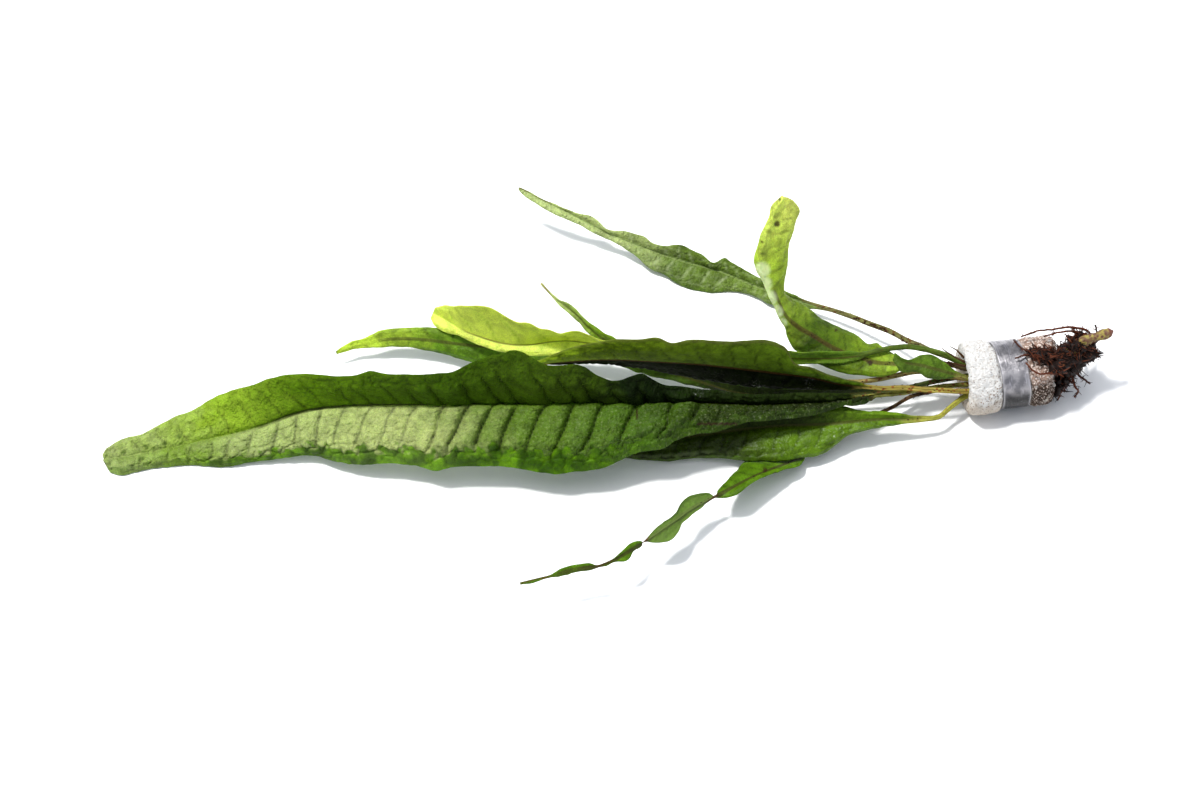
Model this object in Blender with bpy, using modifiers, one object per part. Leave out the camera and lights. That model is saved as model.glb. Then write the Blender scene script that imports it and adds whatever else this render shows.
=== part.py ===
"""A loose bunch of java fern lying on a table: fronds whose stalks run into a foam collar with a lead
strip bent round it, and a rhizome stub with its roots at the collar's other end.

Units are metres and +Z is up, with the table at z = 0. +X runs from the leaf tips to the roots and +Y
away from the viewer. The origin is the middle of the flat on which the lead strip rests.
"""

import math

import bmesh
import bpy
import numpy as np
from mathutils import Matrix, Vector, noise

MM = 0.001

# Driving sizes, in metres
LEAD_WIDTH = 8.0 * MM
LEAD_THICKNESS = 0.9 * MM
LEAD_RADIUS = 10.0 * MM
LEAD_SWEEP = math.radians(354.0)
REST_FLAT_DEPTH = 0.25 * MM
COLLAR_YAW = math.radians(7.0)
COLLAR_SKEW = 0.08
BORE_RADIUS = 6.4 * MM
BLADE_THICKNESS = 0.5 * MM
GAP = 0.3 * MM

# The view in which the rails were read: the lead strip's width in pixels sets the scale.
LEAD_WIDTH_PX = 27.5
FOCAL_PX = 2833.0
MIDDLE_PX = (600.0, 400.0)
ORIGIN_PX = (1004.0, 392.3)
VIEW_ELEVATION = math.radians(57.0)
VIEW_DISTANCE = LEAD_WIDTH * FOCAL_PX / LEAD_WIDTH_PX
RIGHT = Vector((1.0, 0.0, 0.0))
UP = Vector((0.0, math.sin(VIEW_ELEVATION), math.cos(VIEW_ELEVATION)))
FORWARD = Vector((0.0, math.cos(VIEW_ELEVATION), -math.sin(VIEW_ELEVATION)))


def ray(column, row):
    """Direction from the eye through a pixel, one unit deep."""
    across = (column - MIDDLE_PX[0]) / FOCAL_PX
    up = (MIDDLE_PX[1] - row) / FOCAL_PX
    return FORWARD + RIGHT * across + UP * up


EYE = ray(*ORIGIN_PX) * -VIEW_DISTANCE


def seen(column, row, height_mm):
    """The point at that height above the table which shows at that pixel."""
    direction = ray(column, row)
    return EYE + direction * ((height_mm * MM - EYE.z) / direction.z)


# The collar's own directions: along it towards the roots, and level across it away from the viewer.
ALONG = Vector((math.cos(COLLAR_YAW), math.sin(COLLAR_YAW), 0.0))
ACROSS = Vector((-math.sin(COLLAR_YAW), math.cos(COLLAR_YAW), 0.0))
AXIS_HEIGHT = LEAD_RADIUS - REST_FLAT_DEPTH
COLLAR_MIDDLE = Vector((0.0, 0.0, AXIS_HEIGHT))
STALK_STARTS = (2.6 * MM, -4.4 * MM, -11.4 * MM)


def in_collar(along, across, lift):
    """A point by its place along the collar, level across it and above its axis, in metres."""
    return COLLAR_MIDDLE + ALONG * along + ACROSS * across + Vector((0.0, 0.0, lift))


# Rails of each frond from the collar to the tip, as (column, row, height in mm).
# exit_mm is where the stalk leaves the bore: across it and above its middle.
FRONDS = {
    "frond_main": {
        "exit_mm": (-1.3, -1.5),
        "stalk_radius": 1.15,
        "step": 5.0,
        "belly": (0.04, 0.10),
        "color": (0.10, 0.27, 0.02),
        "midrib": [
            (940, 387, 9.3), (905, 392, 9.8), (870, 396.5, 11.5), (842, 400, 13.0), (800, 403, 14.5),
            (760, 404, 15.5), (700, 403, 17.0), (600, 401.5, 18.5), (500, 403, 18.5), (446, 403.4, 18.0),
            (378, 404, 16.0), (346, 405, 14.5), (304, 411, 11.5), (255, 428, 7.0), (195, 442, 3.6),
            (150, 452, 2.0), (125, 456.5, 1.5), (103.5, 459, 1.2),
        ],
        "far": [
            (880, 394, 12.0), (860, 394, 14.0), (842, 394, 16.5), (800, 394, 18.5), (745, 394, 20.5),
            (727, 392.5, 20.5), (717, 391, 20.5), (700, 389.5, 21.0), (690, 388, 21.5), (677, 386.5, 23.0),
            (667, 385.5, 24.0), (657, 383, 26.0), (649, 377.5, 29.0), (642, 374, 31.0), (631, 376.5, 30.5),
            (621, 380.5, 28.5), (607, 380.5, 28.5), (598, 377, 30.0), (584, 367.5, 34.3), (560, 366, 35.5),
            (545, 365, 36.0),
            (530, 357, 37.5), (514, 351, 38.5), (500, 354, 37.5), (470, 364, 34.0), (456, 370.5, 33.0),
            (417, 375, 32.0), (385, 374, 31.0), (370, 371, 31.0), (354, 376, 28.5), (341, 377, 27.0),
            (317, 374.5, 25.0), (304, 374, 24.0), (273, 378, 19.5), (252, 386, 16.0), (236, 390, 13.5),
            (215, 398, 10.5), (195, 410, 7.5), (169, 420, 5.0), (153, 429, 4.0), (140.5, 435, 3.2),
            (119.5, 441, 2.3), (111, 446, 1.9), (105, 451, 1.6), (102.6, 456, 1.3),
        ],
        "near": [
            (880, 398.6, 12.0), (856, 405, 13.6), (842, 406, 14.2), (816, 414, 15.0), (783, 419, 15.8),
            (735, 425, 16.8), (716, 431, 16.8), (698, 433, 16.8), (676, 440, 16.0), (662, 448, 15.0),
            (640, 451, 14.2), (620, 460, 12.4), (596, 469, 11.2), (575, 471, 11.0), (553, 473.5, 10.8),
            (541, 472, 11.0), (520, 468, 11.2), (496, 465, 11.0), (473, 466, 10.5), (451, 467, 9.8),
            (437, 469.8, 9.0), (414, 465, 8.8), (392, 463, 8.0), (367, 464, 6.8), (347, 463, 5.5),
            (331, 459.5, 4.8), (317, 455.5, 4.2), (286, 457, 2.6), (252, 461, 1.4), (221, 466.5, 0.7),
            (200, 465, 0.5), (174, 465.6, 0.4), (153, 468, 0.35), (132, 472, 0.35), (120, 474.5, 0.35),
            (113, 473, 0.4), (108.6, 470, 0.5), (106, 465, 0.7), (103.3, 461, 1.0),
        ],
    },
    "frond_long": {
        "exit_mm": (-4.4, -0.2),
        "stalk_radius": 0.84,
        "step": 5.0,
        "belly": (0.05, 0.05),
        "color": (0.08, 0.20, 0.02),
        "midrib": [
            (942, 390, 12.3), (922, 389, 13.0), (905, 387.3, 13.2), (880, 388, 14.0), (855, 385, 15.0),
            (840, 383, 15.5), (814, 377, 17.0), (776, 372, 19.0), (745, 368.4, 20.0), (700, 363.5, 21.0),
            (660, 361, 21.0), (600, 359, 20.0), (575, 360.5, 18.5), (550, 362.5, 16.5), (530, 365, 14.5),
        ],
        "far": [
            (870, 385, 15.5), (850, 381, 17.5), (830, 375, 20.5), (810, 367, 23.5), (792, 360, 26.0),
            (788, 352, 28.5), (776, 343.4, 31.0), (758, 340, 32.0), (731, 341.6, 32.0), (714, 341, 32.5),
            (689, 340, 33.0), (672, 343.4, 32.0), (660, 338.5, 33.5), (640, 340, 32.5), (612, 340, 31.0),
            (596, 342, 29.0), (580, 346, 26.0), (560, 352, 22.0), (545, 358, 18.5), (530, 364, 15.0),
        ],
        "near": [
            (870, 389, 14.3), (850, 389, 13.5), (830, 389, 13.0), (800, 390, 12.4), (780, 389, 12.3),
            (760, 387.5, 12.3), (740, 384.5, 12.5), (700, 378.5, 12.5), (680, 374, 13.0), (660, 370, 14.0),
            (640, 366.5, 15.5), (620, 363.5, 17.0), (600, 362, 18.0), (575, 362.5, 17.2),
            (550, 364, 15.8), (530, 366, 14.0),
        ],
    },
    "frond_lower": {
        "exit_mm": (-3.8, -2.6),
        "stalk_radius": 0.82,
        "step": 5.0,
        "belly": (0.06, 0.06),
        "color": (0.12, 0.30, 0.02),
        "midrib": [
            (954, 404, 7.5), (947, 410, 7.0), (940, 416, 7.0), (920, 419, 7.5), (880, 419, 8.5),
            (847, 422, 9.0), (829, 424, 8.8), (785, 426, 8.2), (740, 430, 7.2), (690, 436, 6.2),
            (640, 442, 5.0), (600, 446, 3.9), (575, 450, 3.0), (548, 455, 1.9),
        ],
        "far": [
            (932, 416, 7.8), (920, 415.4, 8.5), (901, 414, 9.2), (881, 412, 10.0), (860, 411, 10.8),
            (842, 406.7, 11.8), (800, 408, 11.2), (760, 411, 10.4), (720, 416, 9.2), (680, 422, 7.8),
            (640, 429, 6.4), (600, 438, 4.8), (560, 449, 2.9), (548, 454, 2.0),
        ],
        "near": [
            (938, 419, 6.8), (927, 422, 7.2), (911, 423.6, 7.3), (886, 426, 7.3), (860, 431, 7.0),
            (847, 435, 6.4), (834, 446, 5.2), (816, 455, 4.8), (804, 456.6, 5.0), (785, 460.6, 5.6),
            (765, 460.6, 5.6), (751, 460.6, 5.2), (738, 459, 4.2), (698, 457.5, 3.0), (662, 460.6, 2.3),
            (640, 459, 2.0), (623, 457, 1.7), (600, 458, 1.4), (575, 457, 1.2), (548, 456, 1.2),
        ],
    },
    "frond_yellow": {
        "exit_mm": (2.2, 3.0),
        "stalk_radius": 0.82,
        "step": 5.0,
        "belly": (-0.04, 0.04),
        "color": (0.32, 0.50, 0.03),
        "midrib": [
            (943, 354, 15.4), (924, 349, 15.6), (908, 346.6, 15.6), (895, 347.5, 15.8), (880, 350, 16.0),
            (862, 354.5, 16.2), (846, 357, 16.2), (820, 357.8, 16.0), (787, 357.5, 15.6), (740, 354, 15.6),
            (680, 348, 16.0), (620, 343.5, 17.0), (592, 342.3, 17.4), (565, 340, 17.5), (550, 341.2, 17.2),
            (534, 343.8, 16.4), (515, 344.3, 15.8), (500, 342, 15.4), (480, 336, 15.0), (462, 329, 14.2),
            (447, 320, 13.6), (433, 313, 13.8),
        ],
        "far": [
            (868, 351.5, 16.8), (850, 352, 17.8), (820, 352.3, 18.8), (787, 352, 19.5), (740, 348, 20.5),
            (680, 344.5, 22.0), (620, 342, 24.0), (600, 340.5, 24.5), (588, 334.5, 25.0), (577, 331, 25.5),
            (567, 332, 25.2), (560, 333.7, 24.6), (549, 329.5, 26.0), (540, 329, 26.0), (531, 324.8, 27.0),
            (514, 322, 27.0), (504.6, 316, 28.5), (491, 309, 30.5), (474, 306, 30.0), (465, 306, 28.5),
            (451, 306.5, 22.5), (442, 306.5, 17.5), (435, 309, 15.0),
        ],
        "near": [
            (868, 355.5, 15.6), (857, 360, 15.0), (846, 362, 14.8), (824, 363, 14.4), (790, 363.5, 13.8),
            (740, 361, 13.0), (680, 357, 12.7), (640, 354, 13.5), (620, 353, 14.0), (600, 352, 15.0),
            (580, 352, 15.8), (560, 354, 16.0), (540, 356, 15.5), (520, 354.5, 14.8), (500, 351, 14.0),
            (478, 344, 13.3), (457, 335, 12.5), (440, 329.5, 12.0), (434, 325, 12.2), (431.5, 318, 13.0),
        ],
    },
    "frond_under": {
        "exit_mm": (1.6, -1.2),
        "stalk_radius": 0.72,
        "step": 5.0,
        "belly": (0.05, 0.05),
        "color": (0.10, 0.26, 0.02),
        "midrib": [
            (940, 380, 8.8), (905, 388, 8.0), (842, 394, 7.8), (780, 396, 7.6), (730, 391, 7.4),
            (700, 381, 7.4), (673, 373, 7.8), (650, 366.5, 8.2), (630, 361, 8.6), (600, 355, 9.0),
            (560, 349, 9.0), (520, 347, 9.0), (480, 346, 8.8), (457, 343.5, 8.6), (434, 340.5, 8.2),
            (410, 338.5, 7.8), (380, 340, 6.8), (355, 345.5, 5.8), (336, 352.6, 5.0),
        ],
        "far": [
            (880, 389.5, 8.6), (842, 391, 9.6), (780, 390, 10.2), (730, 382, 10.0), (700, 372, 10.0),
            (673, 362, 10.0), (640, 351, 10.2), (600, 344, 10.6), (560, 341, 11.0), (520, 340, 11.3),
            (480, 337.5, 11.0), (457, 332, 10.8), (434, 328, 10.5), (408, 328.5, 9.5), (384, 330.6, 8.5),
            (365, 338, 7.2), (349, 343.5, 6.2), (337, 351.5, 5.2),
        ],
        "near": [
            (880, 392.5, 7.4), (842, 397, 6.4), (780, 400, 5.6), (745, 394, 5.4), (727, 390.5, 5.4),
            (717, 389, 5.6), (700, 386.5, 5.8), (680, 382.3, 6.0), (668, 378.6, 6.4), (657, 377.2, 6.6),
            (647, 374, 6.8), (636.5, 371.5, 7.0), (626, 366.8, 7.2), (613.5, 363.8, 7.3), (598, 361.2, 7.2),
            (573, 362.5, 6.8), (540, 364, 6.2), (510, 365, 5.8), (478, 362.5, 5.2), (457, 357.5, 5.0),
            (443, 353.5, 5.0), (429, 350.5, 5.0), (413, 346.7, 5.4), (377, 346.7, 5.0), (351, 348.8, 4.8),
            (337, 353.2, 4.6),
        ],
    },
    "frond_trailing": {
        "exit_mm": (-1.6, -4.2),
        "stalk_radius": 0.6,
        "step": 3.4,
        "belly": (0.08, 0.08),
        "color": (0.16, 0.36, 0.02),
        "midrib": [
            (940, 390.5, 6.2), (922, 393.5, 5.6), (911, 396.5, 5.2), (901, 402, 4.8), (891, 408, 4.5),
            (884, 411, 4.0), (860, 422, 3.0), (835, 436, 1.7), (812, 449, 1.6), (795, 461, 3.2),
            (775, 469, 6.0), (753, 478, 8.6), (735, 487, 9.8), (717, 496, 10.4), (704, 502, 11.0),
            (690, 510, 11.6), (672, 523, 12.0), (655, 535, 12.0), (647, 540, 12.2), (632, 549, 12.8),
            (612, 560.5, 13.6), (598, 566, 14.0), (575, 569.5, 14.0), (555, 575, 13.6), (520, 583.5, 12.6),
        ],
        "far": [
            (822, 440, 1.6), (806, 448, 1.0), (790, 456, 0.8), (768, 459, 0.9), (751, 459.5, 1.4),
            (737, 471, 5.5), (727, 481, 8.0), (719, 490.5, 9.6), (715, 495.5, 11.0), (708, 502, 10.6),
            (702, 507, 10.6), (691, 514.5, 11.0), (681, 524, 11.0), (678, 531, 11.0), (672, 538.5, 11.2),
            (658, 542.4, 11.6), (649, 541.5, 11.8), (641, 541.3, 13.2), (633, 543, 13.8), (625, 548.6, 14.0),
            (618, 555, 14.2), (610, 560.6, 14.2), (598, 565.4, 14.3), (589, 563.9, 14.6), (578, 565.3, 14.6),
            (566, 567.6, 14.4), (559, 570.3, 14.1), (553, 574.2, 13.8), (536, 578.9, 13.2),
            (520, 582.8, 12.7),
        ],
        "near": [
            (822, 446, 1.4), (804, 458.5, 2.2), (797, 467, 5.0), (783, 470, 6.6), (770, 474, 8.6),
            (755, 481, 10.4), (747, 487, 10.8), (735, 495, 10.4), (722, 497.5, 9.6), (716, 496.5, 9.6),
            (710, 494, 11.2), (704, 493.6, 12.4), (694, 495, 13.0), (688, 498, 13.2), (680, 506, 13.4),
            (677, 513, 13.2), (667, 520.5, 13.0), (660, 525.5, 12.8), (652, 533, 12.8), (647, 538.6, 12.4),
            (640, 546.5, 12.0), (633, 550.5, 12.0), (630, 556.5, 12.0), (625.5, 560.3, 12.4),
            (615, 561.8, 13.2), (606, 565.6, 13.6), (598, 567, 13.8), (591, 569, 13.6), (583, 570.3, 13.4),
            (572, 572.9, 13.2), (558, 576, 13.0), (552, 576.6, 13.2), (536, 581.3, 12.6),
            (520, 584.4, 12.5),
        ],
    },
    "frond_upright": {
        "exit_mm": (0.2, 4.0),
        "stalk_radius": 0.72,
        "step": 4.0,
        "belly": (0.06, 0.06),
        "color": (0.17, 0.38, 0.03),
        "midrib": [
            (944, 363.5, 15.2), (915, 364, 14.4), (893, 364, 13.9), (872, 362, 14.0), (861, 358, 14.4),
            (839.5, 351, 15.4), (826, 344, 16.8), (813.5, 336, 18.4), (798, 327, 20.5), (786, 317, 23.5),
            (777, 300, 28.5), (770, 280, 35.5), (768, 262, 40.5), (771, 245, 45.0), (776, 225, 50.0),
            (783, 208, 54.0), (788, 198, 57.0),
        ],
        "far": [
            (905, 361, 13.9), (893, 354.5, 13.3), (882, 347, 12.7), (875, 343.2, 12.6), (868, 344.5, 12.5),
            (859, 338, 12.8), (847, 331, 13.6), (832.5, 324.5, 15.0), (820, 319, 16.8), (810, 310, 19.0),
            (801, 304, 20.8),
            (791, 298, 24.5), (785, 293, 27.5), (783.6, 284, 30.5), (785, 272, 33.5), (787.5, 256.5, 38.5),
            (789, 244, 42.0), (792, 234, 45.5), (796, 220, 50.0), (798, 207, 54.0), (792, 199.5, 56.8),
        ],
        "near": [
            (905, 368, 13.2), (890, 374.5, 12.4), (870, 375.5, 12.2), (850, 373.5, 12.0), (830, 368.5, 12.4),
            (813, 361, 13.4), (799, 352.5, 15.0), (793, 347, 16.0), (787.5, 336, 18.5), (785.3, 328, 21.0),
            (781, 321, 24.0), (775, 309, 28.0), (769, 296, 31.5), (764.5, 284, 34.5), (758, 272, 38.5),
            (754.5, 261, 42.0), (759, 243, 46.5), (763, 232, 49.0), (767.5, 221, 51.5), (775, 203, 56.0),
            (783, 195.5, 57.8),
        ],
    },
    "frond_pointed": {
        "exit_mm": (-1.2, 1.4),
        "stalk_radius": 0.68,
        "step": 5.0,
        "belly": (0.06, 0.06),
        "color": (0.10, 0.26, 0.02),
        "midrib": [
            (940, 374.5, 11.4), (920, 371, 11.3), (901, 374, 10.9), (878, 379, 10.5), (852, 382, 10.0),
            (800, 372, 9.2), (740, 362, 9.0), (680, 352.5, 9.6), (630, 347, 12.0), (604, 339, 15.0),
            (595, 332, 17.0), (587, 325, 18.8), (579, 316, 20.6), (570, 309, 22.2), (562, 303.5, 23.4),
            (551.5, 294.5, 24.8), (541, 283.2, 26.0),
        ],
        "far": [
            (840, 378.5, 10.4), (800, 366, 10.4), (740, 356, 10.4), (680, 348, 11.4), (640, 342.5, 13.4),
            (618.6, 340.5, 14.8), (612.5, 336.6, 16.0), (603, 333, 17.2), (598, 329.7, 18.4),
            (588, 322.8, 20.4), (581, 316, 21.8), (575, 308.5, 23.2), (566, 303, 24.2), (560, 301, 24.4),
            (553.6, 295.2, 25.2), (541.5, 282.9, 26.2),
        ],
        "near": [
            (840, 382.5, 9.4), (800, 377, 8.5), (740, 367, 8.2), (680, 357, 9.2), (640, 352, 11.9),
            (610, 346.5, 12.6), (595.6, 341, 14.6), (591.8, 335.8, 16.2), (586.5, 331.2, 17.6),
            (582, 326, 18.8), (576.5, 319.7, 20.2), (569, 312.8, 21.8), (559.7, 305, 23.2),
            (549.7, 293.7, 24.8), (540.6, 283.6, 25.8),
        ],
    },
    "frond_back": {
        "exit_mm": (4.3, 1.0),
        "stalk_radius": 0.74,
        "step": 5.0,
        "belly": (0.06, 0.06),
        "color": (0.14, 0.30, 0.05),
        "midrib": [
            (945, 356, 11.8), (930, 350.5, 11.0), (922, 346.5, 10.5), (908, 341, 9.6), (890, 331.5, 8.4),
            (870, 324, 7.4), (850, 316, 6.4), (832, 310, 5.6), (810, 303.5, 4.8), (790, 297, 4.2),
            (760, 287, 3.6), (720, 271, 3.4), (680, 260, 4.2), (640, 246, 5.8), (600, 229, 8.0),
            (565, 211, 11.0), (540, 199, 12.8), (527, 192, 14.0), (519, 188, 15.5),
        ],
        "far": [
            (825, 306, 5.8), (808, 301, 5.6), (784, 291, 5.8), (761, 279.5, 6.3), (731, 263, 7.3),
            (723, 258, 7.6), (717, 262, 7.0), (700, 254, 7.3), (679, 246, 8.0), (660, 246, 7.8),
            (643, 237, 8.6), (626, 232, 9.2), (605, 228, 9.7), (597, 220.5, 10.5), (574, 212, 11.6),
            (553, 204, 12.6), (532, 194, 14.0), (520, 188, 15.6),
        ],
        "near": [
            (828, 311, 4.8), (808, 308.5, 3.6), (790, 307, 2.8), (769, 303, 1.9), (755, 296, 1.2),
            (742, 292, 0.7), (710, 292, 0.4), (698, 290, 0.4), (681, 285, 0.7), (664, 274, 2.0),
            (649, 267, 3.0), (639, 258, 4.2), (618, 244, 6.0), (599, 235, 7.4), (584, 227, 8.8),
            (555, 214, 11.2), (542, 207, 12.2), (527, 197, 13.6), (519, 189, 15.2),
        ],
    },
    "frond_young": {
        "exit_mm": (-2.4, 3.1),
        "stalk_radius": 0.65,
        "step": 2.4,
        "belly": (0.12, 0.12),
        "color": (0.06, 0.20, 0.02),
        "midrib": [
            (957, 375, 15.4), (948, 372.5, 16.3), (935, 369, 17.4), (920, 365, 18.4), (905, 362, 19.4),
            (894, 356.5, 20.4),
        ],
        "far": [
            (955, 371, 16.0), (942, 361.5, 18.0), (929, 355, 19.4), (920, 355.5, 19.8), (911, 360, 20.0),
            (903, 358.5, 20.6), (894, 353.5, 21.0),
        ],
        "near": [
            (955, 377, 15.2), (948, 378, 15.2), (937, 379, 15.4), (925, 376.5, 16.4), (918, 372, 17.2),
            (908, 371.5, 17.8), (900, 370, 18.6), (896, 364, 19.6), (893, 359, 20.2),
        ],
    },
}

# One cross-section of a frond, far margin first and then round over the top: share of the stalk's
# radius, share of the blade beyond it, and side (+1 top, -1 underside, 0 margin).
SECTION = (
    (1.0, 1.0, 0), (0.9, 0.5, 1), (0.0, 0.0, 1), (-0.9, -0.5, 1), (-1.0, -1.0, 0),
    (-0.95, -0.5, -1), (-0.7, 0.0, -1), (0.0, 0.0, -1), (0.7, 0.0, -1), (0.95, 0.5, -1),
)
TIP_RADIUS_SHARE = 0.35
TIP_STEPS = (2.2 * MM, 0.7 * MM)
MARGIN_STUB = 0.3 * MM
FADE_IN = 6.0 * MM

# The foam's outline, as (radius, distance along) in mm: left face, left bulge, waist under the lead,
# right bulge, right face, bore.
FOAM_OUTLINE = (
    (BORE_RADIUS / MM, -12.0), (7.6, -12.4), (9.9, -12.3), (10.6, -11.6), (10.8, -9.4), (10.5, -5.6),
    (10.0, -4.3), (8.8, -4.3), (8.8, 4.3), (9.6, 4.4), (9.9, 6.0), (9.8, 9.0), (9.3, 11.4), (8.2, 12.5),
    (7.2, 12.6), (BORE_RADIUS / MM, 12.2),
)
FOAM_STEPS = 28
LEAD_STEPS = 40

# The rhizome, as (along, across, lift) in mm inside the collar and then (column, row, height in mm),
# each with its radius in mm.
RHIZOME_INSIDE = ((3.3, 0.3, 0.4, 2.1), (8.0, 0.3, 0.9, 2.1), (12.0, 0.2, 2.2, 2.0))
RHIZOME_OUTSIDE = (
    (1066, 357, 15.5, 1.9), (1078, 346, 19.0, 1.7), (1089, 339.5, 21.3, 1.45), (1100, 335.5, 22.4, 1.3),
    (1109, 332.5, 23.0, 1.3), (1113.5, 331.0, 23.2, 0.9),
)

# The root mass as three blobs, each a middle as (column, row, height in mm) and half sizes in mm.
ROOT_BLOBS = (
    ((1071, 361, 13.2), (5.3, 6.2, 7.0)),
    ((1086, 352.5, 15.0), (4.3, 3.8, 3.8)),
    ((1068, 385, 5.6), (3.1, 4.0, 4.4)),
)
ROOT_LUMPS = 0.25
ROOT_LUMP_SCALE = 1.7
ROOT_RADII = (0.6 * MM, 0.32 * MM)

# Thick root strands from the mass to their tips, as (column, row, height in mm).
ROOT_STRANDS = (
    ((1077, 360, 10.0), (1085, 344, 14.5), (1090, 334, 18.0), (1082, 328.5, 21.0), (1067, 327, 22.6),
     (1054, 329, 22.6), (1037, 331.5, 21.8), (1020, 337, 20.8)),
    ((1072, 362, 11.0), (1078, 346, 15.0), (1082, 335, 18.4), (1072, 331, 20.8), (1059, 332.5, 21.6),
     (1044, 336.5, 21.2)),
    ((1070, 366, 13.0), (1064, 360, 18.0), (1050, 351, 21.0), (1037, 350, 21.0), (1026, 350.5, 21.2),
     (1018, 345.5, 21.2), (1014, 339.5, 20.8)),
    ((1070, 368, 12.0), (1062, 362, 17.8), (1046, 355, 20.8), (1033, 353.5, 20.9), (1024, 355.5, 21.1),
     (1015, 358.5, 21.1)),
    ((1072, 372, 11.0), (1062, 372, 16.0), (1051, 373, 18.6), (1041, 374, 19.6), (1032, 369.5, 20.2),
     (1025, 362.5, 21.0)),
    ((1080, 360, 11.0), (1090, 348, 15.0), (1097, 336, 20.0), (1096, 324.5, 23.6)),
    ((1076, 366, 12.0), (1086, 356, 15.0), (1093, 353, 16.2), (1099, 350, 17.0)),
    ((1072, 372, 10.0), (1066, 384, 6.5), (1060, 393, 3.6), (1057.5, 400, 1.6)),
    ((1072, 370, 9.0), (1075, 386, 6.0), (1078, 392, 4.6), (1075, 397.5, 3.2)),
    ((1074, 368, 10.0), (1083, 379, 8.0), (1090, 383.5, 7.0)),
    ((1076, 362, 10.0), (1078, 344, 7.0), (1070, 336, 4.6)),
    ((1076, 362, 11.0), (1090, 347, 8.0), (1099, 340, 5.0)),
)


def through(knots, values, at):
    """Values at the places `at` of a smooth curve through the knots."""
    knots = np.asarray(knots, float)
    values = np.asarray(values, float)
    slopes = np.gradient(values, knots, axis=0)
    index = np.clip(np.searchsorted(knots, at) - 1, 0, len(knots) - 2)
    span = (knots[index + 1] - knots[index])[:, None]
    t = (np.asarray(at) - knots[index])[:, None] / span
    start = (1 + 2 * t) * (1 - t) ** 2 * values[index] + t * (1 - t) ** 2 * span * slopes[index]
    end = t * t * (3 - 2 * t) * values[index + 1] + t * t * (t - 1) * span * slopes[index + 1]
    return start + end


def lengths_along(points):
    """Distance along a line of points at each of them."""
    return np.concatenate([[0.0], np.cumsum(np.linalg.norm(np.diff(points, axis=0), axis=1))])


def unit(vectors):
    return vectors / np.maximum(np.linalg.norm(vectors, axis=-1, keepdims=True), 1e-9)


def midrib_points(rails):
    """The midrib from inside the bore to the tip."""
    across, lift = (value * MM for value in rails["exit_mm"])
    inside = [in_collar(along, across, lift) for along in STALK_STARTS]
    outside = [seen(*point) for point in rails["midrib"]]
    return np.array(inside + outside)


def margin_offsets(rail, fine, fine_midrib):
    """The place along the midrib nearest to each margin point, and the step from there to it."""
    places = []
    offsets = []
    least = 0.0
    for point in rail:
        margin = np.array(seen(*point))
        distance = np.linalg.norm(fine_midrib - margin, axis=1)
        distance[fine <= least] = np.inf
        nearest = int(np.argmin(distance))
        least = fine[nearest]
        places.append(least)
        offsets.append(margin - fine_midrib[nearest])
    return places, offsets


def frond_frame(rails):
    """Stations along a frond, its midrib and tangent there, the steps to both margins, and across."""
    points = midrib_points(rails)
    knots = lengths_along(points)
    length = knots[-1]
    fine = np.linspace(0.0, length, 900)
    fine_midrib = through(knots, points, fine)
    stations = np.linspace(0.0, length, round(length / (rails["step"] * MM)) + 1)
    stations = np.insert(stations, -1, length - np.array(TIP_STEPS))
    midrib = through(knots, points, stations)
    tangent = unit(np.gradient(midrib, stations, axis=0))
    margins = []
    for name in ("far", "near"):
        places, offsets = margin_offsets(rails[name], fine, fine_midrib)
        stalk = unit(offsets[0]) * rails["stalk_radius"] * MM
        places = [0.0, places[0] - FADE_IN, *places[:-1], length]
        margins.append(through(places, [stalk, stalk, *offsets], stations))
    across = margins[0] - margins[1]
    across -= (across * tangent).sum(1)[:, None] * tangent
    for i in range(1, len(across)):
        if np.linalg.norm(across[i]) < 1.0 * MM:
            across[i] = across[i - 1]
    return stations / length, midrib, tangent, margins, unit(across)


def section_ring(middle, tangent, across, offsets, radius, bellies):
    """One closed cross-section: a round rib under a thin blade, or a round stalk where there is none."""
    upward = np.cross(across, tangent)
    ring = []
    for stalk, blade, side in SECTION:
        far_half = stalk + blade >= 0
        sign = 1.0 if far_half else -1.0
        offset = offsets[0 if far_half else 1] + sign * MARGIN_STUB * across
        width = np.linalg.norm(offset)
        beyond = max(width - radius, 0.0)
        blade_share = min(beyond / (2 * radius), 1.0)
        direction = offset / width if blade else sign * across
        normal = unit(np.cross(sign * direction, tangent)) if blade else upward
        belly = bellies[0 if far_half else 1] * beyond * 4 * abs(blade) * (1 - abs(blade))
        round_half = math.sqrt(1 - stalk * stalk) * radius
        half = round_half + (BLADE_THICKNESS / 2 - round_half) * blade_share
        if side < 0 and not blade:
            half = max(round_half, BLADE_THICKNESS / 2)
        reach = abs(stalk) * radius + abs(blade) * beyond
        ring.append(middle + direction * reach + normal * (belly + side * half))
    return ring


def loft(name, rings):
    """A closed mesh through rings of as many points each, with flat ends."""
    count = len(rings[0])
    vertices = [tuple(point) for ring in rings for point in ring]
    faces = [tuple(range(count)), tuple(range(len(vertices) - 1, len(vertices) - count - 1, -1))]
    for i in range(len(rings) - 1):
        for j in range(count):
            k = (j + 1) % count
            low = i * count
            faces.append((low + j, low + count + j, low + count + k, low + k))
    mesh = bpy.data.meshes.new(name)
    mesh.from_pydata(vertices, [], faces)
    shape = bmesh.new()
    shape.from_mesh(mesh)
    bmesh.ops.recalc_face_normals(shape, faces=shape.faces)
    shape.to_mesh(mesh)
    shape.free()
    return mesh


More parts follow.
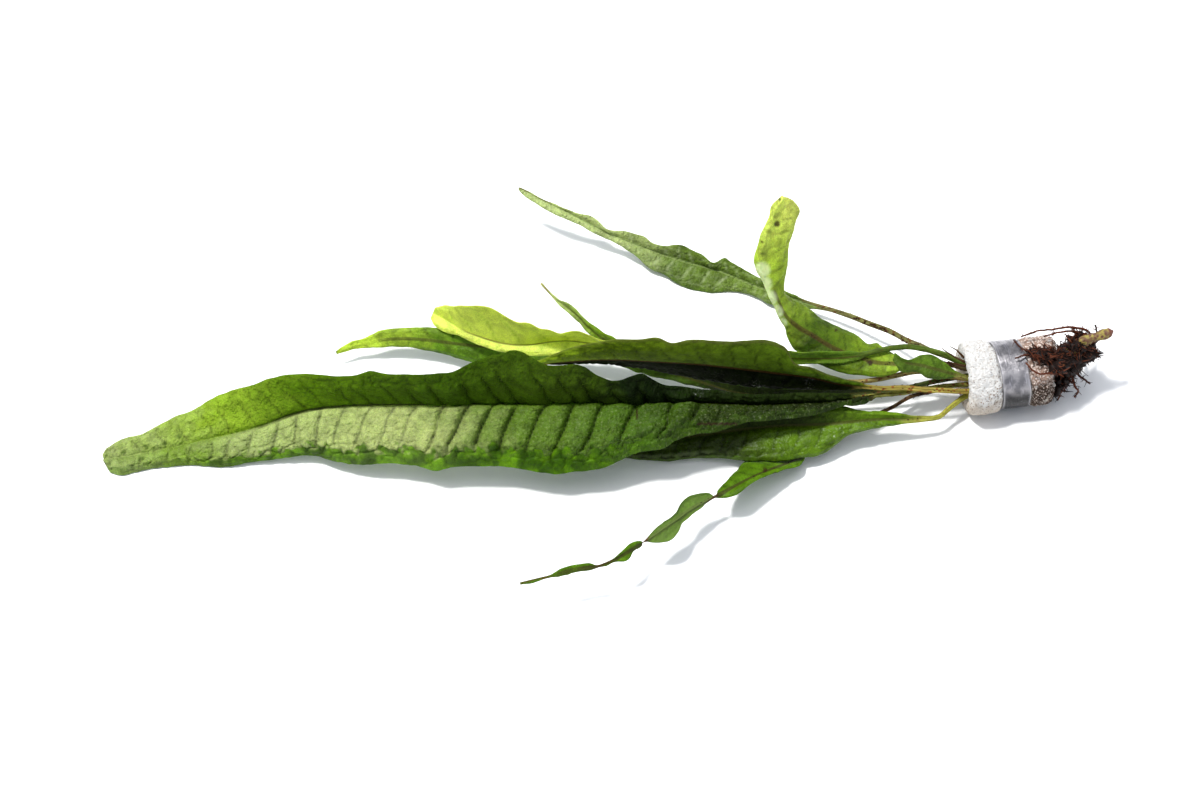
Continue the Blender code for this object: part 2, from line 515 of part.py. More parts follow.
def make_frond(name, rails, parts):
    shares, midrib, tangent, margins, across = frond_frame(rails)
    radii = rails["stalk_radius"] * MM * (1 - (1 - TIP_RADIUS_SHARE) * shares)
    rings = [
        section_ring(midrib[i], tangent[i], across[i], (margins[0][i], margins[1][i]), radii[i],
                     rails["belly"])
        for i in range(len(shares))
    ]
    frond = add_object(name, loft(name, rings), parts)
    frond.data.shade_smooth()
    give_material(frond, rails["color"], 0.42)


def add_object(name, data, collection):
    made = bpy.data.objects.new(name, data)
    collection.objects.link(made)
    return made


def give_material(thing, color, roughness, metallic=0.0):
    material = bpy.data.materials.new(thing.name)
    material.use_nodes = True
    shader = material.node_tree.nodes["Principled BSDF"]
    shader.inputs["Base Color"].default_value = (*color, 1.0)
    shader.inputs["Roughness"].default_value = roughness
    shader.inputs["Metallic"].default_value = metallic
    thing.data.materials.append(material)


def hide_helper(thing):
    thing.hide_render = True
    thing.display_type = "WIRE"


def collar_matrix():
    """Takes a shape turned about its own Z to the collar, leaning the same way as the wound strip."""
    place = Matrix((
        (ALONG.x, ACROSS.x, 0.0, COLLAR_MIDDLE.x),
        (ALONG.y, ACROSS.y, 0.0, COLLAR_MIDDLE.y),
        (ALONG.z, ACROSS.z, 1.0, COLLAR_MIDDLE.z),
        (0.0, 0.0, 0.0, 1.0),
    ))
    lean = Matrix((
        (-COLLAR_SKEW * UP.y, -COLLAR_SKEW * UP.z, 1.0, 0.0),
        (1.0, 0.0, 0.0, 0.0),
        (0.0, 1.0, 0.0, 0.0),
        (0.0, 0.0, 0.0, 1.0),
    ))
    return place @ lean


def cut_flat(thing, floor_cut):
    cut = thing.modifiers.new("flat", "BOOLEAN")
    cut.operation = "DIFFERENCE"
    cut.object = floor_cut


def turned(name, outline, closed, sweep, steps, parts):
    """An outline of (radius, along) in mm, turned about the collar's axis."""
    count = len(outline)
    points = [(radius * MM, 0.0, along * MM) for radius, along in outline]
    edges = [(i, (i + 1) % count) for i in range(count if closed else count - 1)]
    mesh = bpy.data.meshes.new(name)
    mesh.from_pydata(points, edges, [])
    thing = add_object(name, mesh, parts)
    screw = thing.modifiers.new("turn", "SCREW")
    screw.angle = sweep
    screw.steps = steps
    screw.render_steps = steps
    screw.use_merge_vertices = closed
    screw.merge_threshold = 0.00001
    screw.use_smooth_shade = True
    return thing


def make_foam(parts, floor_cut):
    foam = turned("foam_collar", FOAM_OUTLINE, True, math.tau, FOAM_STEPS, parts)
    foam.matrix_world = collar_matrix()
    cut_flat(foam, floor_cut)
    give_material(foam, (0.80, 0.78, 0.74), 0.95)


def make_lead(parts, floor_cut):
    half = LEAD_WIDTH / 2 / MM
    radius = (LEAD_RADIUS - LEAD_THICKNESS) / MM
    lead = turned("lead_strip", ((radius, -half), (radius, half)), False, LEAD_SWEEP, LEAD_STEPS, parts)
    band = lead.modifiers.new("thickness", "SOLIDIFY")
    band.thickness = LEAD_THICKNESS
    band.offset = -1.0
    lead.matrix_world = collar_matrix()
    cut_flat(lead, floor_cut)
    give_material(lead, (0.16, 0.16, 0.19), 0.45, 0.8)


def tube(name, points, radii, sides, collection):
    """A round rod through the points, as a mesh with closed ends."""
    curve = bpy.data.curves.new(name, "CURVE")
    curve.dimensions = "3D"
    curve.bevel_depth = 1.0
    curve.bevel_resolution = sides // 2 - 2
    curve.use_fill_caps = True
    spline = curve.splines.new("POLY")
    spline.points.add(len(points) - 1)
    for place, point, radius in zip(spline.points, points, radii):
        place.co = (*point, 1.0)
        place.radius = radius
    guide = add_object(name + "_guide", curve, collection)
    bpy.context.view_layer.update()
    evaluated = guide.evaluated_get(bpy.context.evaluated_depsgraph_get())
    mesh = bpy.data.meshes.new_from_object(evaluated)
    bpy.data.objects.remove(guide)
    shape = bmesh.new()
    shape.from_mesh(mesh)
    bmesh.ops.remove_doubles(shape, verts=shape.verts, dist=0.00001)
    bmesh.ops.recalc_face_normals(shape, faces=shape.faces)
    shape.to_mesh(mesh)
    shape.free()
    return add_object(name, mesh, collection)


def rhizome_line():
    """Points and radii of the rhizome."""
    inside = [in_collar(a * MM, c * MM, h * MM) for a, c, h, _ in RHIZOME_INSIDE]
    outside = [seen(*row[:3]) for row in RHIZOME_OUTSIDE]
    knots = lengths_along(np.array(inside + outside))
    at = np.linspace(0.0, knots[-1], 15)
    radii = [row[3] * MM for row in RHIZOME_INSIDE + RHIZOME_OUTSIDE]
    values = np.column_stack([np.array(inside + outside), radii])
    smooth = through(knots, values, at)
    return smooth[:, :3], smooth[:, 3]


def make_rhizome(parts):
    points, radii = rhizome_line()
    rhizome = tube("rhizome", points, radii, 8, parts)
    rhizome.data.shade_smooth()
    give_material(rhizome, (0.36, 0.36, 0.06), 0.6)


def blob_mesh(name, middle, half_sizes):
    """A lumpy ball of packed roots."""
    shape = bmesh.new()
    bmesh.ops.create_uvsphere(shape, u_segments=11, v_segments=7, radius=1.0)
    centre = seen(*middle)
    for vertex in shape.verts:
        lump = 1.0 + ROOT_LUMPS * noise.noise(vertex.co * ROOT_LUMP_SCALE + centre / MM)
        vertex.co = centre + Vector(c * size * MM for c, size in zip(vertex.co * lump, half_sizes))
    mesh = bpy.data.meshes.new(name)
    shape.to_mesh(mesh)
    shape.free()
    return mesh


def make_roots(parts, helpers):
    strands = bpy.data.collections.new("root_strands")
    helpers.children.link(strands)
    for index, strand in enumerate(ROOT_STRANDS):
        points = np.array([seen(*point) for point in strand])
        knots = lengths_along(points)
        at = np.linspace(0.0, knots[-1], len(strand) + 2)
        radii = np.linspace(*ROOT_RADII, len(at))
        hide_helper(tube(f"strand_{index}", through(knots, points, at), radii, 4, strands))
    points, radii = rhizome_line()
    channel = tube("rhizome_clearance", points, radii + GAP, 8, helpers)
    hide_helper(channel)
    tuft = add_object("root_tuft", blob_mesh("root_tuft", *ROOT_BLOBS[0]), parts)
    for index, blob in enumerate(ROOT_BLOBS[1:]):
        name = f"root_blob_{index}"
        hide_helper(add_object(name, blob_mesh(name, *blob), strands))
    join = tuft.modifiers.new("strands", "BOOLEAN")
    join.operation = "UNION"
    join.operand_type = "COLLECTION"
    join.collection = strands
    cut = tuft.modifiers.new("rhizome", "BOOLEAN")
    cut.operation = "DIFFERENCE"
    cut.object = channel
    give_material(tuft, (0.06, 0.02, 0.01), 0.8)


def make_floor_cut(helpers):
    """A block whose top is the table, which cuts the flats on which the collar rests."""
    shape = bmesh.new()
    bmesh.ops.create_cube(shape, size=0.08)
    bmesh.ops.translate(shape, verts=shape.verts, vec=(0.0, 0.0, -0.04))
    mesh = bpy.data.meshes.new("floor_cut")
    shape.to_mesh(mesh)
    shape.free()
    floor_cut = add_object("floor_cut", mesh, helpers)
    hide_helper(floor_cut)
    return floor_cut


def main():
    for thing in list(bpy.data.objects):
        bpy.data.objects.remove(thing)
    parts = bpy.data.collections.new("java_fern_bunch")
    helpers = bpy.data.collections.new("cutters")
    bpy.context.scene.collection.children.link(parts)
    bpy.context.scene.collection.children.link(helpers)
    floor_cut = make_floor_cut(helpers)
    for name, rails in FRONDS.items():
        make_frond(name, rails, parts)
    make_foam(parts, floor_cut)
    make_lead(parts, floor_cut)
    make_rhizome(parts)
    make_roots(parts, helpers)


main()
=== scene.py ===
"""The looks of a loose bunch of java fern lying on a pale table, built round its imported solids.

Places are in millimetres until a mesh is made, which scales them to metres. +Z is up, the table is at
z = 0, +X runs from the leaf tips to the roots and +Y away from the viewer.
"""

import math

import bpy
import numpy as np
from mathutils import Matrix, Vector


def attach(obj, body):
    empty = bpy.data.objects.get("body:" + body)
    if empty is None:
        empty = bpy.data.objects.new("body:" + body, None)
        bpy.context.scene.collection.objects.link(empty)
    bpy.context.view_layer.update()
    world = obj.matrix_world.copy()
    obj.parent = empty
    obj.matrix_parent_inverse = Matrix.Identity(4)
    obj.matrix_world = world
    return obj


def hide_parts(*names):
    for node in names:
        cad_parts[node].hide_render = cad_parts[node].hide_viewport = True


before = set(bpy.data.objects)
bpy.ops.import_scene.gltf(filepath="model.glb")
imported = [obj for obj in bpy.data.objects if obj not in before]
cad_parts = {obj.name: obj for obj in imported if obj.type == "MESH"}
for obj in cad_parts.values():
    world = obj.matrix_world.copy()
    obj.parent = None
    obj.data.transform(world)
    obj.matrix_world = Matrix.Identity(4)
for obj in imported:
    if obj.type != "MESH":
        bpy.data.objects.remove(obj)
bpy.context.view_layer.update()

MM = 0.001

# The view in which the rails were read, as in the construction.
LEAD_WIDTH = 8.0
LEAD_THICKNESS = 0.9
LEAD_RADIUS = 10.0
LEAD_WIDTH_PX = 27.5
FOCAL_PX = 2833.0
IMAGE_PX = (1200.0, 800.0)
ORIGIN_PX = (1004.0, 392.3)
VIEW_ELEVATION = math.radians(57.0)
VIEW_DISTANCE = LEAD_WIDTH * FOCAL_PX / LEAD_WIDTH_PX
SENSOR_WIDTH_MM = 36.0
RIGHT = np.array((1.0, 0.0, 0.0))
UP = np.array((0.0, math.sin(VIEW_ELEVATION), math.cos(VIEW_ELEVATION)))
FORWARD = np.array((0.0, math.cos(VIEW_ELEVATION), -math.sin(VIEW_ELEVATION)))

# The collar's own directions and the flat on which its strip rests.
COLLAR_YAW = math.radians(7.0)
COLLAR_SKEW = 0.08
REST_FLAT_DEPTH = 0.25
ALONG = np.array((math.cos(COLLAR_YAW), math.sin(COLLAR_YAW), 0.0))
ACROSS = np.array((-math.sin(COLLAR_YAW), math.cos(COLLAR_YAW), 0.0))
COLLAR_MIDDLE = np.array((0.0, 0.0, LEAD_RADIUS - REST_FLAT_DEPTH))
STALK_STARTS = (2.6, -4.4, -11.4)


def ray(column, row):
    """Direction from the eye through a pixel, one unit deep."""
    across = (column - IMAGE_PX[0] / 2) / FOCAL_PX
    up = (IMAGE_PX[1] / 2 - row) / FOCAL_PX
    return FORWARD + RIGHT * across + UP * up


EYE = ray(*ORIGIN_PX) * -VIEW_DISTANCE


def seen(column, row, height):
    """The point at that height above the table which shows at that pixel."""
    direction = ray(column, row)
    return EYE + direction * ((height - EYE[2]) / direction[2])


def in_collar(along, across, lift):
    """A point by its place along the collar, level across it and above its axis."""
    return COLLAR_MIDDLE + ALONG * along + ACROSS * across + np.array((0.0, 0.0, lift))


# Rails of each frond from the collar to the tip, as (column, row, height in mm).
# exit_mm is where the stalk leaves the bore: across it and above its middle.
FRONDS = {
    "frond_main": {
        "exit_mm": (-1.3, -1.5),
        "stalk_radius": 1.15,
        "belly": (0.04, 0.10),
        "midrib": [
            (940, 387, 9.3), (905, 392, 9.8), (870, 396.5, 11.5), (842, 400, 13.0), (800, 403, 14.5),
            (760, 404, 15.5), (700, 403, 17.0), (600, 401.5, 18.5), (500, 403, 18.5), (446, 403.4, 18.0),
            (378, 404, 16.0), (346, 405, 14.5), (304, 411, 11.5), (255, 428, 7.0), (195, 442, 3.6),
            (150, 452, 2.0), (125, 456.5, 1.5), (103.5, 459, 1.2),
        ],
        "far": [
            (880, 394, 12.0), (860, 394, 14.0), (842, 394, 16.5), (800, 394, 18.5), (745, 394, 20.5),
            (727, 392.5, 20.5), (717, 391, 20.5), (700, 389.5, 21.0), (690, 388, 21.5), (677, 386.5, 23.0),
            (667, 385.5, 24.0), (657, 383, 26.0), (649, 377.5, 29.0), (642, 374, 31.0), (631, 376.5, 30.5),
            (621, 380.5, 28.5), (607, 380.5, 28.5), (598, 377, 30.0), (584, 367.5, 34.3), (560, 366, 35.5),
            (545, 365, 36.0),
            (530, 357, 37.5), (514, 351, 38.5), (500, 354, 37.5), (470, 364, 34.0), (456, 370.5, 33.0),
            (417, 375, 32.0), (385, 374, 31.0), (370, 371, 31.0), (354, 376, 28.5), (341, 377, 27.0),
            (317, 374.5, 25.0), (304, 374, 24.0), (273, 378, 19.5), (252, 386, 16.0), (236, 390, 13.5),
            (215, 398, 10.5), (195, 410, 7.5), (169, 420, 5.0), (153, 429, 4.0), (140.5, 435, 3.2),
            (119.5, 441, 2.3), (111, 446, 1.9), (105, 451, 1.6), (102.6, 456, 1.3),
        ],
        "near": [
            (880, 398.6, 12.0), (856, 405, 13.6), (842, 406, 14.2), (816, 414, 15.0), (783, 419, 15.8),
            (735, 425, 16.8), (716, 431, 16.8), (698, 433, 16.8), (676, 440, 16.0), (662, 448, 15.0),
            (640, 451, 14.2), (620, 460, 12.4), (596, 469, 11.2), (575, 471, 11.0), (553, 473.5, 10.8),
            (541, 472, 11.0), (520, 468, 11.2), (496, 465, 11.0), (473, 466, 10.5), (451, 467, 9.8),
            (437, 469.8, 9.0), (414, 465, 8.8), (392, 463, 8.0), (367, 464, 6.8), (347, 463, 5.5),
            (331, 459.5, 4.8), (317, 455.5, 4.2), (286, 457, 2.6), (252, 461, 1.4), (221, 466.5, 0.7),
            (200, 465, 0.5), (174, 465.6, 0.4), (153, 468, 0.35), (132, 472, 0.35), (120, 474.5, 0.35),
            (113, 473, 0.4), (108.6, 470, 0.5), (106, 465, 0.7), (103.3, 461, 1.0),
        ],
    },
    "frond_long": {
        "exit_mm": (-4.4, -0.2),
        "stalk_radius": 0.84,
        "belly": (0.05, 0.05),
        "midrib": [
            (942, 390, 12.3), (922, 389, 13.0), (905, 387.3, 13.2), (880, 388, 14.0), (855, 385, 15.0),
            (840, 383, 15.5), (814, 377, 17.0), (776, 372, 19.0), (745, 368.4, 20.0), (700, 363.5, 21.0),
            (660, 361, 21.0), (600, 359, 20.0), (575, 360.5, 18.5), (550, 362.5, 16.5), (530, 365, 14.5),
        ],
        "far": [
            (870, 385, 15.5), (850, 381, 17.5), (830, 375, 20.5), (810, 367, 23.5), (792, 360, 26.0),
            (788, 352, 28.5), (776, 343.4, 31.0), (758, 340, 32.0), (731, 341.6, 32.0), (714, 341, 32.5),
            (689, 340, 33.0), (672, 343.4, 32.0), (660, 338.5, 33.5), (640, 340, 32.5), (612, 340, 31.0),
            (596, 342, 29.0), (580, 346, 26.0), (560, 352, 22.0), (545, 358, 18.5), (530, 364, 15.0),
        ],
        "near": [
            (870, 389, 14.3), (850, 389, 13.5), (830, 389, 13.0), (800, 390, 12.4), (780, 389, 12.3),
            (760, 387.5, 12.3), (740, 384.5, 12.5), (700, 378.5, 12.5), (680, 374, 13.0), (660, 370, 14.0),
            (640, 366.5, 15.5), (620, 363.5, 17.0), (600, 362, 18.0), (575, 362.5, 17.2),
            (550, 364, 15.8), (530, 366, 14.0),
        ],
    },
    "frond_lower": {
        "exit_mm": (-3.8, -2.6),
        "stalk_radius": 0.82,
        "belly": (0.06, 0.06),
        "midrib": [
            (954, 404, 7.5), (947, 410, 7.0), (940, 416, 7.0), (920, 419, 7.5), (880, 419, 8.5),
            (847, 422, 9.0), (829, 424, 8.8), (785, 426, 8.2), (740, 430, 7.2), (690, 436, 6.2),
            (640, 442, 5.0), (600, 446, 3.9), (575, 450, 3.0), (548, 455, 1.9),
        ],
        "far": [
            (932, 416, 7.8), (920, 415.4, 8.5), (901, 414, 9.2), (881, 412, 10.0), (860, 411, 10.8),
            (842, 406.7, 11.8), (800, 408, 11.2), (760, 411, 10.4), (720, 416, 9.2), (680, 422, 7.8),
            (640, 429, 6.4), (600, 438, 4.8), (560, 449, 2.9), (548, 454, 2.0),
        ],
        "near": [
            (938, 419, 6.8), (927, 422, 7.2), (911, 423.6, 7.3), (886, 426, 7.3), (860, 431, 7.0),
            (847, 435, 6.4), (834, 446, 5.2), (816, 455, 4.8), (804, 456.6, 5.0), (785, 460.6, 5.6),
            (765, 460.6, 5.6), (751, 460.6, 5.2), (738, 459, 4.2), (698, 457.5, 3.0), (662, 460.6, 2.3),
            (640, 459, 2.0), (623, 457, 1.7), (600, 458, 1.4), (575, 457, 1.2), (548, 456, 1.2),
        ],
    },
    "frond_yellow": {
        "exit_mm": (2.2, 3.0),
        "stalk_radius": 0.82,
        "belly": (-0.04, 0.04),
        "midrib": [
            (943, 354, 15.4), (924, 349, 15.6), (908, 346.6, 15.6), (895, 347.5, 15.8), (880, 350, 16.0),
            (862, 354.5, 16.2), (846, 357, 16.2), (820, 357.8, 16.0), (787, 357.5, 15.6), (740, 354, 15.6),
            (680, 348, 16.0), (620, 343.5, 17.0), (592, 342.3, 17.4), (565, 340, 17.5), (550, 341.2, 17.2),
            (534, 343.8, 16.4), (515, 344.3, 15.8), (500, 342, 15.4), (480, 336, 15.0), (462, 329, 14.2),
            (447, 320, 13.6), (433, 313, 13.8),
        ],
        "far": [
            (868, 351.5, 16.8), (850, 352, 17.8), (820, 352.3, 18.8), (787, 352, 19.5), (740, 348, 20.5),
            (680, 344.5, 22.0), (620, 342, 24.0), (600, 340.5, 24.5), (588, 334.5, 25.0), (577, 331, 25.5),
            (567, 332, 25.2), (560, 333.7, 24.6), (549, 329.5, 26.0), (540, 329, 26.0), (531, 324.8, 27.0),
            (514, 322, 27.0), (504.6, 316, 28.5), (491, 309, 30.5), (474, 306, 30.0), (465, 306, 28.5),
            (451, 306.5, 22.5), (442, 306.5, 17.5), (435, 309, 15.0),
        ],
        "near": [
            (868, 355.5, 15.6), (857, 360, 15.0), (846, 362, 14.8), (824, 363, 14.4), (790, 363.5, 13.8),
            (740, 361, 13.0), (680, 357, 12.7), (640, 354, 13.5), (620, 353, 14.0), (600, 352, 15.0),
            (580, 352, 15.8), (560, 354, 16.0), (540, 356, 15.5), (520, 354.5, 14.8), (500, 351, 14.0),
            (478, 344, 13.3), (457, 335, 12.5), (440, 329.5, 12.0), (434, 325, 12.2), (431.5, 318, 13.0),
        ],
    },
    "frond_under": {
        "exit_mm": (1.6, -1.2),
        "stalk_radius": 0.72,
        "belly": (0.05, 0.05),
        "midrib": [
            (940, 380, 8.8), (905, 388, 8.0), (842, 394, 7.8), (780, 396, 7.6), (730, 391, 7.4),
            (700, 381, 7.4), (673, 373, 7.8), (650, 366.5, 8.2), (630, 361, 8.6), (600, 355, 9.0),
            (560, 349, 9.0), (520, 347, 9.0), (480, 346, 8.8), (457, 343.5, 8.6), (434, 340.5, 8.2),
            (410, 338.5, 7.8), (380, 340, 6.8), (355, 345.5, 5.8), (336, 352.6, 5.0),
        ],
        "far": [
            (880, 388, 8.8), (842, 387.5, 9.8), (780, 386, 10.4), (730, 379.5, 10.0), (700, 372, 10.0),
            (673, 362, 10.0), (640, 351, 10.2), (600, 344, 10.6), (560, 341, 11.0), (520, 340, 11.3),
            (480, 337.5, 11.0), (457, 332, 10.8), (434, 328, 10.5), (408, 328.5, 9.5), (384, 330.6, 8.5),
            (365, 338, 7.2), (349, 343.5, 6.2), (337, 351.5, 5.2),
        ],
        "near": [
            (880, 392.5, 7.4), (842, 397, 6.4), (780, 400, 5.6), (745, 394, 5.4), (727, 390.5, 5.4),
            (717, 389, 5.6), (700, 386.5, 5.8), (680, 382.3, 6.0), (668, 378.6, 6.4), (657, 377.2, 6.6),
            (647, 374, 6.8), (636.5, 371.5, 7.0), (626, 366.8, 7.2), (613.5, 363.8, 7.3), (598, 361.2, 7.2),
            (573, 362.5, 6.8), (540, 364, 6.2), (510, 365, 5.8), (478, 362.5, 5.2), (457, 357.5, 5.0),
            (443, 353.5, 5.0), (429, 350.5, 5.0), (413, 346.7, 5.4), (377, 346.7, 5.0), (351, 348.8, 4.8),
            (337, 353.2, 4.6),
        ],
    },
    "frond_trailing": {
        "exit_mm": (-1.6, -4.2),
        "stalk_radius": 0.6,
        "belly": (0.08, 0.08),
        "midrib": [
            (940, 390.5, 6.2), (922, 393.5, 5.6), (911, 396.5, 5.2), (901, 402, 4.8), (891, 408, 4.5),
            (884, 411, 4.0), (860, 422, 3.0), (835, 436, 1.7), (812, 449, 1.6), (795, 461, 3.2),
            (775, 469, 6.0), (753, 478, 8.6), (735, 487, 9.8), (717, 496, 10.4), (704, 502, 11.0),
            (690, 510, 11.6), (672, 523, 12.0), (655, 535, 12.0), (647, 540, 12.2), (632, 549, 12.8),
            (612, 560.5, 13.6), (598, 566, 14.0), (575, 569.5, 14.0), (555, 575, 13.6), (520, 583.5, 12.6),
        ],
        "far": [
            (822, 440, 1.6), (806, 448, 1.0), (790, 456, 0.8), (768, 459, 0.9), (751, 459.5, 1.4),
            (737, 471, 5.5), (727, 481, 8.0), (719, 490.5, 9.6), (715, 495.5, 11.0), (708, 502, 10.6),
            (702, 507, 10.6), (691, 514.5, 11.0), (681, 524, 11.0), (678, 531, 11.0), (672, 538.5, 11.2),
            (658, 542.4, 11.6), (649, 541.5, 11.8), (641, 541.3, 13.2), (633, 543, 13.8), (625, 548.6, 14.0),
            (618, 555, 14.2), (610, 560.6, 14.2), (598, 565.4, 14.3), (589, 563.9, 14.6), (578, 565.3, 14.6),
            (566, 567.6, 14.4), (559, 570.3, 14.1), (553, 574.2, 13.8), (536, 578.9, 13.2),
            (520, 582.8, 12.7),
        ],
        "near": [
            (822, 446, 1.4), (804, 458.5, 2.2), (797, 467, 5.0), (783, 470, 6.6), (770, 474, 8.6),
            (755, 481, 10.4), (747, 487, 10.8), (735, 495, 10.4), (722, 497.5, 9.6), (716, 496.5, 9.6),
            (710, 494, 11.2), (704, 493.6, 12.4), (694, 495, 13.0), (688, 498, 13.2), (680, 506, 13.4),
            (677, 513, 13.2), (667, 520.5, 13.0), (660, 525.5, 12.8), (652, 533, 12.8), (647, 538.6, 12.4),
            (640, 546.5, 12.0), (633, 550.5, 12.0), (630, 556.5, 12.0), (625.5, 560.3, 12.4),
            (615, 561.8, 13.2), (606, 565.6, 13.6), (598, 567, 13.8), (591, 569, 13.6), (583, 570.3, 13.4),
            (572, 572.9, 13.2), (558, 576, 13.0), (552, 576.6, 13.2), (536, 581.3, 12.6),
            (520, 584.4, 12.5),
        ],
    },
    "frond_upright": {
        "exit_mm": (0.2, 4.0),
        "stalk_radius": 0.72,
        "belly": (0.06, 0.06),
        "midrib": [
            (944, 363.5, 15.2), (915, 364, 14.4), (893, 364, 13.9), (872, 362, 14.0), (861, 358, 14.4),
            (839.5, 351, 15.4), (826, 344, 16.8), (813.5, 336, 18.4), (798, 327, 20.5), (786, 317, 23.5),
            (777, 300, 28.5), (770, 280, 35.5), (768, 262, 40.5), (771, 245, 45.0), (776, 225, 50.0),
            (783, 208, 54.0), (788, 198, 57.0),
        ],
        "far": [
            (905, 361, 13.9), (893, 354.5, 13.3), (882, 347, 12.7), (875, 343.2, 12.6), (868, 344.5, 12.5),
            (859, 338, 12.8), (847, 331, 13.6), (832.5, 324.5, 15.0), (820, 319, 16.8), (810, 310, 19.0),
            (801, 304, 20.8),
            (791, 298, 24.5), (785, 293, 27.5), (783.6, 284, 30.5), (785, 272, 33.5), (787.5, 256.5, 38.5),
            (789, 244, 42.0), (792, 234, 45.5), (796, 220, 50.0), (798, 207, 54.0), (792, 199.5, 56.8),
        ],
        "near": [
            (905, 368, 13.2), (890, 374.5, 12.4), (870, 375.5, 12.2), (850, 373.5, 12.0), (830, 368.5, 12.4),
            (813, 361, 13.4), (799, 352.5, 15.0), (793, 347, 16.0), (787.5, 336, 18.5), (785.3, 328, 21.0),
            (781, 321, 24.0), (775, 309, 28.0), (769, 296, 31.5), (764.5, 284, 34.5), (758, 272, 38.5),
            (754.5, 261, 42.0), (759, 243, 46.5), (763, 232, 49.0), (767.5, 221, 51.5), (775, 203, 56.0),
            (783, 195.5, 57.8),
        ],
    },
    "frond_pointed": {
        "exit_mm": (-1.2, 1.4),
        "stalk_radius": 0.68,
        "belly": (0.06, 0.06),
        "midrib": [
            (940, 374.5, 11.4), (920, 371, 11.3), (901, 374, 10.9), (878, 379, 10.5), (852, 382, 10.0),
            (800, 372, 9.2), (740, 362, 9.0), (680, 352.5, 9.6), (630, 347, 12.0), (604, 339, 15.0),
            (595, 332, 17.0), (587, 325, 18.8), (579, 316, 20.6), (570, 309, 22.2), (562, 303.5, 23.4),
            (551.5, 294.5, 24.8), (541, 283.2, 26.0),
        ],
        "far": [
            (840, 378.5, 10.4), (800, 366, 10.4), (740, 356, 10.4), (680, 348, 11.4), (640, 342.5, 13.4),
            (618.6, 340.5, 14.8), (612.5, 336.6, 16.0), (603, 333, 17.2), (598, 329.7, 18.4),
            (588, 322.8, 20.4), (581, 316, 21.8), (575, 308.5, 23.2), (566, 303, 24.2), (560, 301, 24.4),
            (553.6, 295.2, 25.2), (541.5, 282.9, 26.2),
        ],
        "near": [
            (840, 382.5, 9.4), (800, 377, 8.5), (740, 367, 8.2), (680, 357, 9.2), (640, 352, 11.9),
            (610, 346.5, 12.6), (595.6, 341, 14.6), (591.8, 335.8, 16.2), (586.5, 331.2, 17.6),
            (582, 326, 18.8), (576.5, 319.7, 20.2), (569, 312.8, 21.8), (559.7, 305, 23.2),
            (549.7, 293.7, 24.8), (540.6, 283.6, 25.8),
        ],
    },
    "frond_back": {
        "exit_mm": (4.3, 1.0),
        "stalk_radius": 0.74,
        "belly": (0.06, 0.06),
        "midrib": [
            (945, 356, 11.8), (930, 350.5, 11.0), (922, 346.5, 10.5), (908, 341, 9.6), (890, 331.5, 8.4),
            (870, 324, 7.4), (850, 316, 6.4), (832, 310, 5.6), (810, 303.5, 4.8), (790, 297, 4.2),
            (760, 287, 3.6), (720, 271, 3.4), (680, 260, 4.2), (640, 246, 5.8), (600, 229, 8.0),
            (565, 211, 11.0), (540, 199, 12.8), (527, 192, 14.0), (519, 188, 15.5),
        ],
        "far": [
            (825, 306, 5.8), (808, 301, 5.6), (784, 291, 5.8), (761, 279.5, 6.3), (731, 263, 7.3),
            (723, 258, 7.6), (717, 262, 7.0), (700, 254, 7.3), (679, 246, 8.0), (660, 246, 7.8),
            (643, 237, 8.6), (626, 232, 9.2), (605, 228, 9.7), (597, 220.5, 10.5), (574, 212, 11.6),
            (553, 204, 12.6), (532, 194, 14.0), (520, 188, 15.6),
        ],
        "near": [
            (828, 311, 4.8), (808, 308.5, 3.6), (790, 307, 2.8), (769, 303, 1.9), (755, 296, 1.2),
            (742, 292, 0.7), (710, 292, 0.4), (698, 290, 0.4), (681, 285, 0.7), (664, 274, 2.0),
            (649, 267, 3.0), (639, 258, 4.2), (618, 244, 6.0), (599, 235, 7.4), (584, 227, 8.8),
            (555, 214, 11.2), (542, 207, 12.2), (527, 197, 13.6), (519, 189, 15.2),
        ],
    },
    "frond_young": {
        "exit_mm": (-2.4, 3.1),
        "stalk_radius": 0.65,
        "belly": (0.12, 0.12),
        "midrib": [
            (957, 375, 15.4), (948, 372.5, 16.3), (935, 369, 17.4), (920, 365, 18.4), (905, 362, 19.4),
            (894, 356.5, 20.4),
        ],
        "far": [
            (955, 371, 16.0), (942, 361.5, 18.0), (929, 355, 19.4), (920, 355.5, 19.8), (911, 360, 20.0),
            (903, 358.5, 20.6), (894, 353.5, 21.0),
        ],
        "near": [
            (955, 377, 15.2), (948, 378, 15.2), (937, 379, 15.4), (925, 376.5, 16.4), (918, 372, 17.2),
            (908, 371.5, 17.8), (900, 370, 18.6), (896, 364, 19.6), (893, 359, 20.2),
        ],
    },
}

TIP_RADIUS_SHARE = 0.35
MARGIN_STUB = 0.3
FADE_IN = 6.0
RAIL_SAMPLES = 900
BLADE_HALF = 0.2
MARGIN_ROUNDING = 0.5
RIB_SHARE = 0.85
UNDERSIDE_SHIFT = 40.0


def through(knots, values, at):
    """Values at the places `at` of a smooth curve through the knots."""
    knots = np.asarray(knots, float)
    values = np.asarray(values, float)
    slopes = np.gradient(values, knots, axis=0)
    index = np.clip(np.searchsorted(knots, at) - 1, 0, len(knots) - 2)
    span = (knots[index + 1] - knots[index])[:, None]
    t = (np.asarray(at) - knots[index])[:, None] / span
    start = (1 + 2 * t) * (1 - t) ** 2 * values[index] + t * (1 - t) ** 2 * span * slopes[index]
    end = t * t * (3 - 2 * t) * values[index + 1] + t * t * (t - 1) * span * slopes[index + 1]
    return start + end


def lengths_along(points):
    """Distance along a line of points at each of them."""
    return np.concatenate([[0.0], np.cumsum(np.linalg.norm(np.diff(points, axis=0), axis=1))])


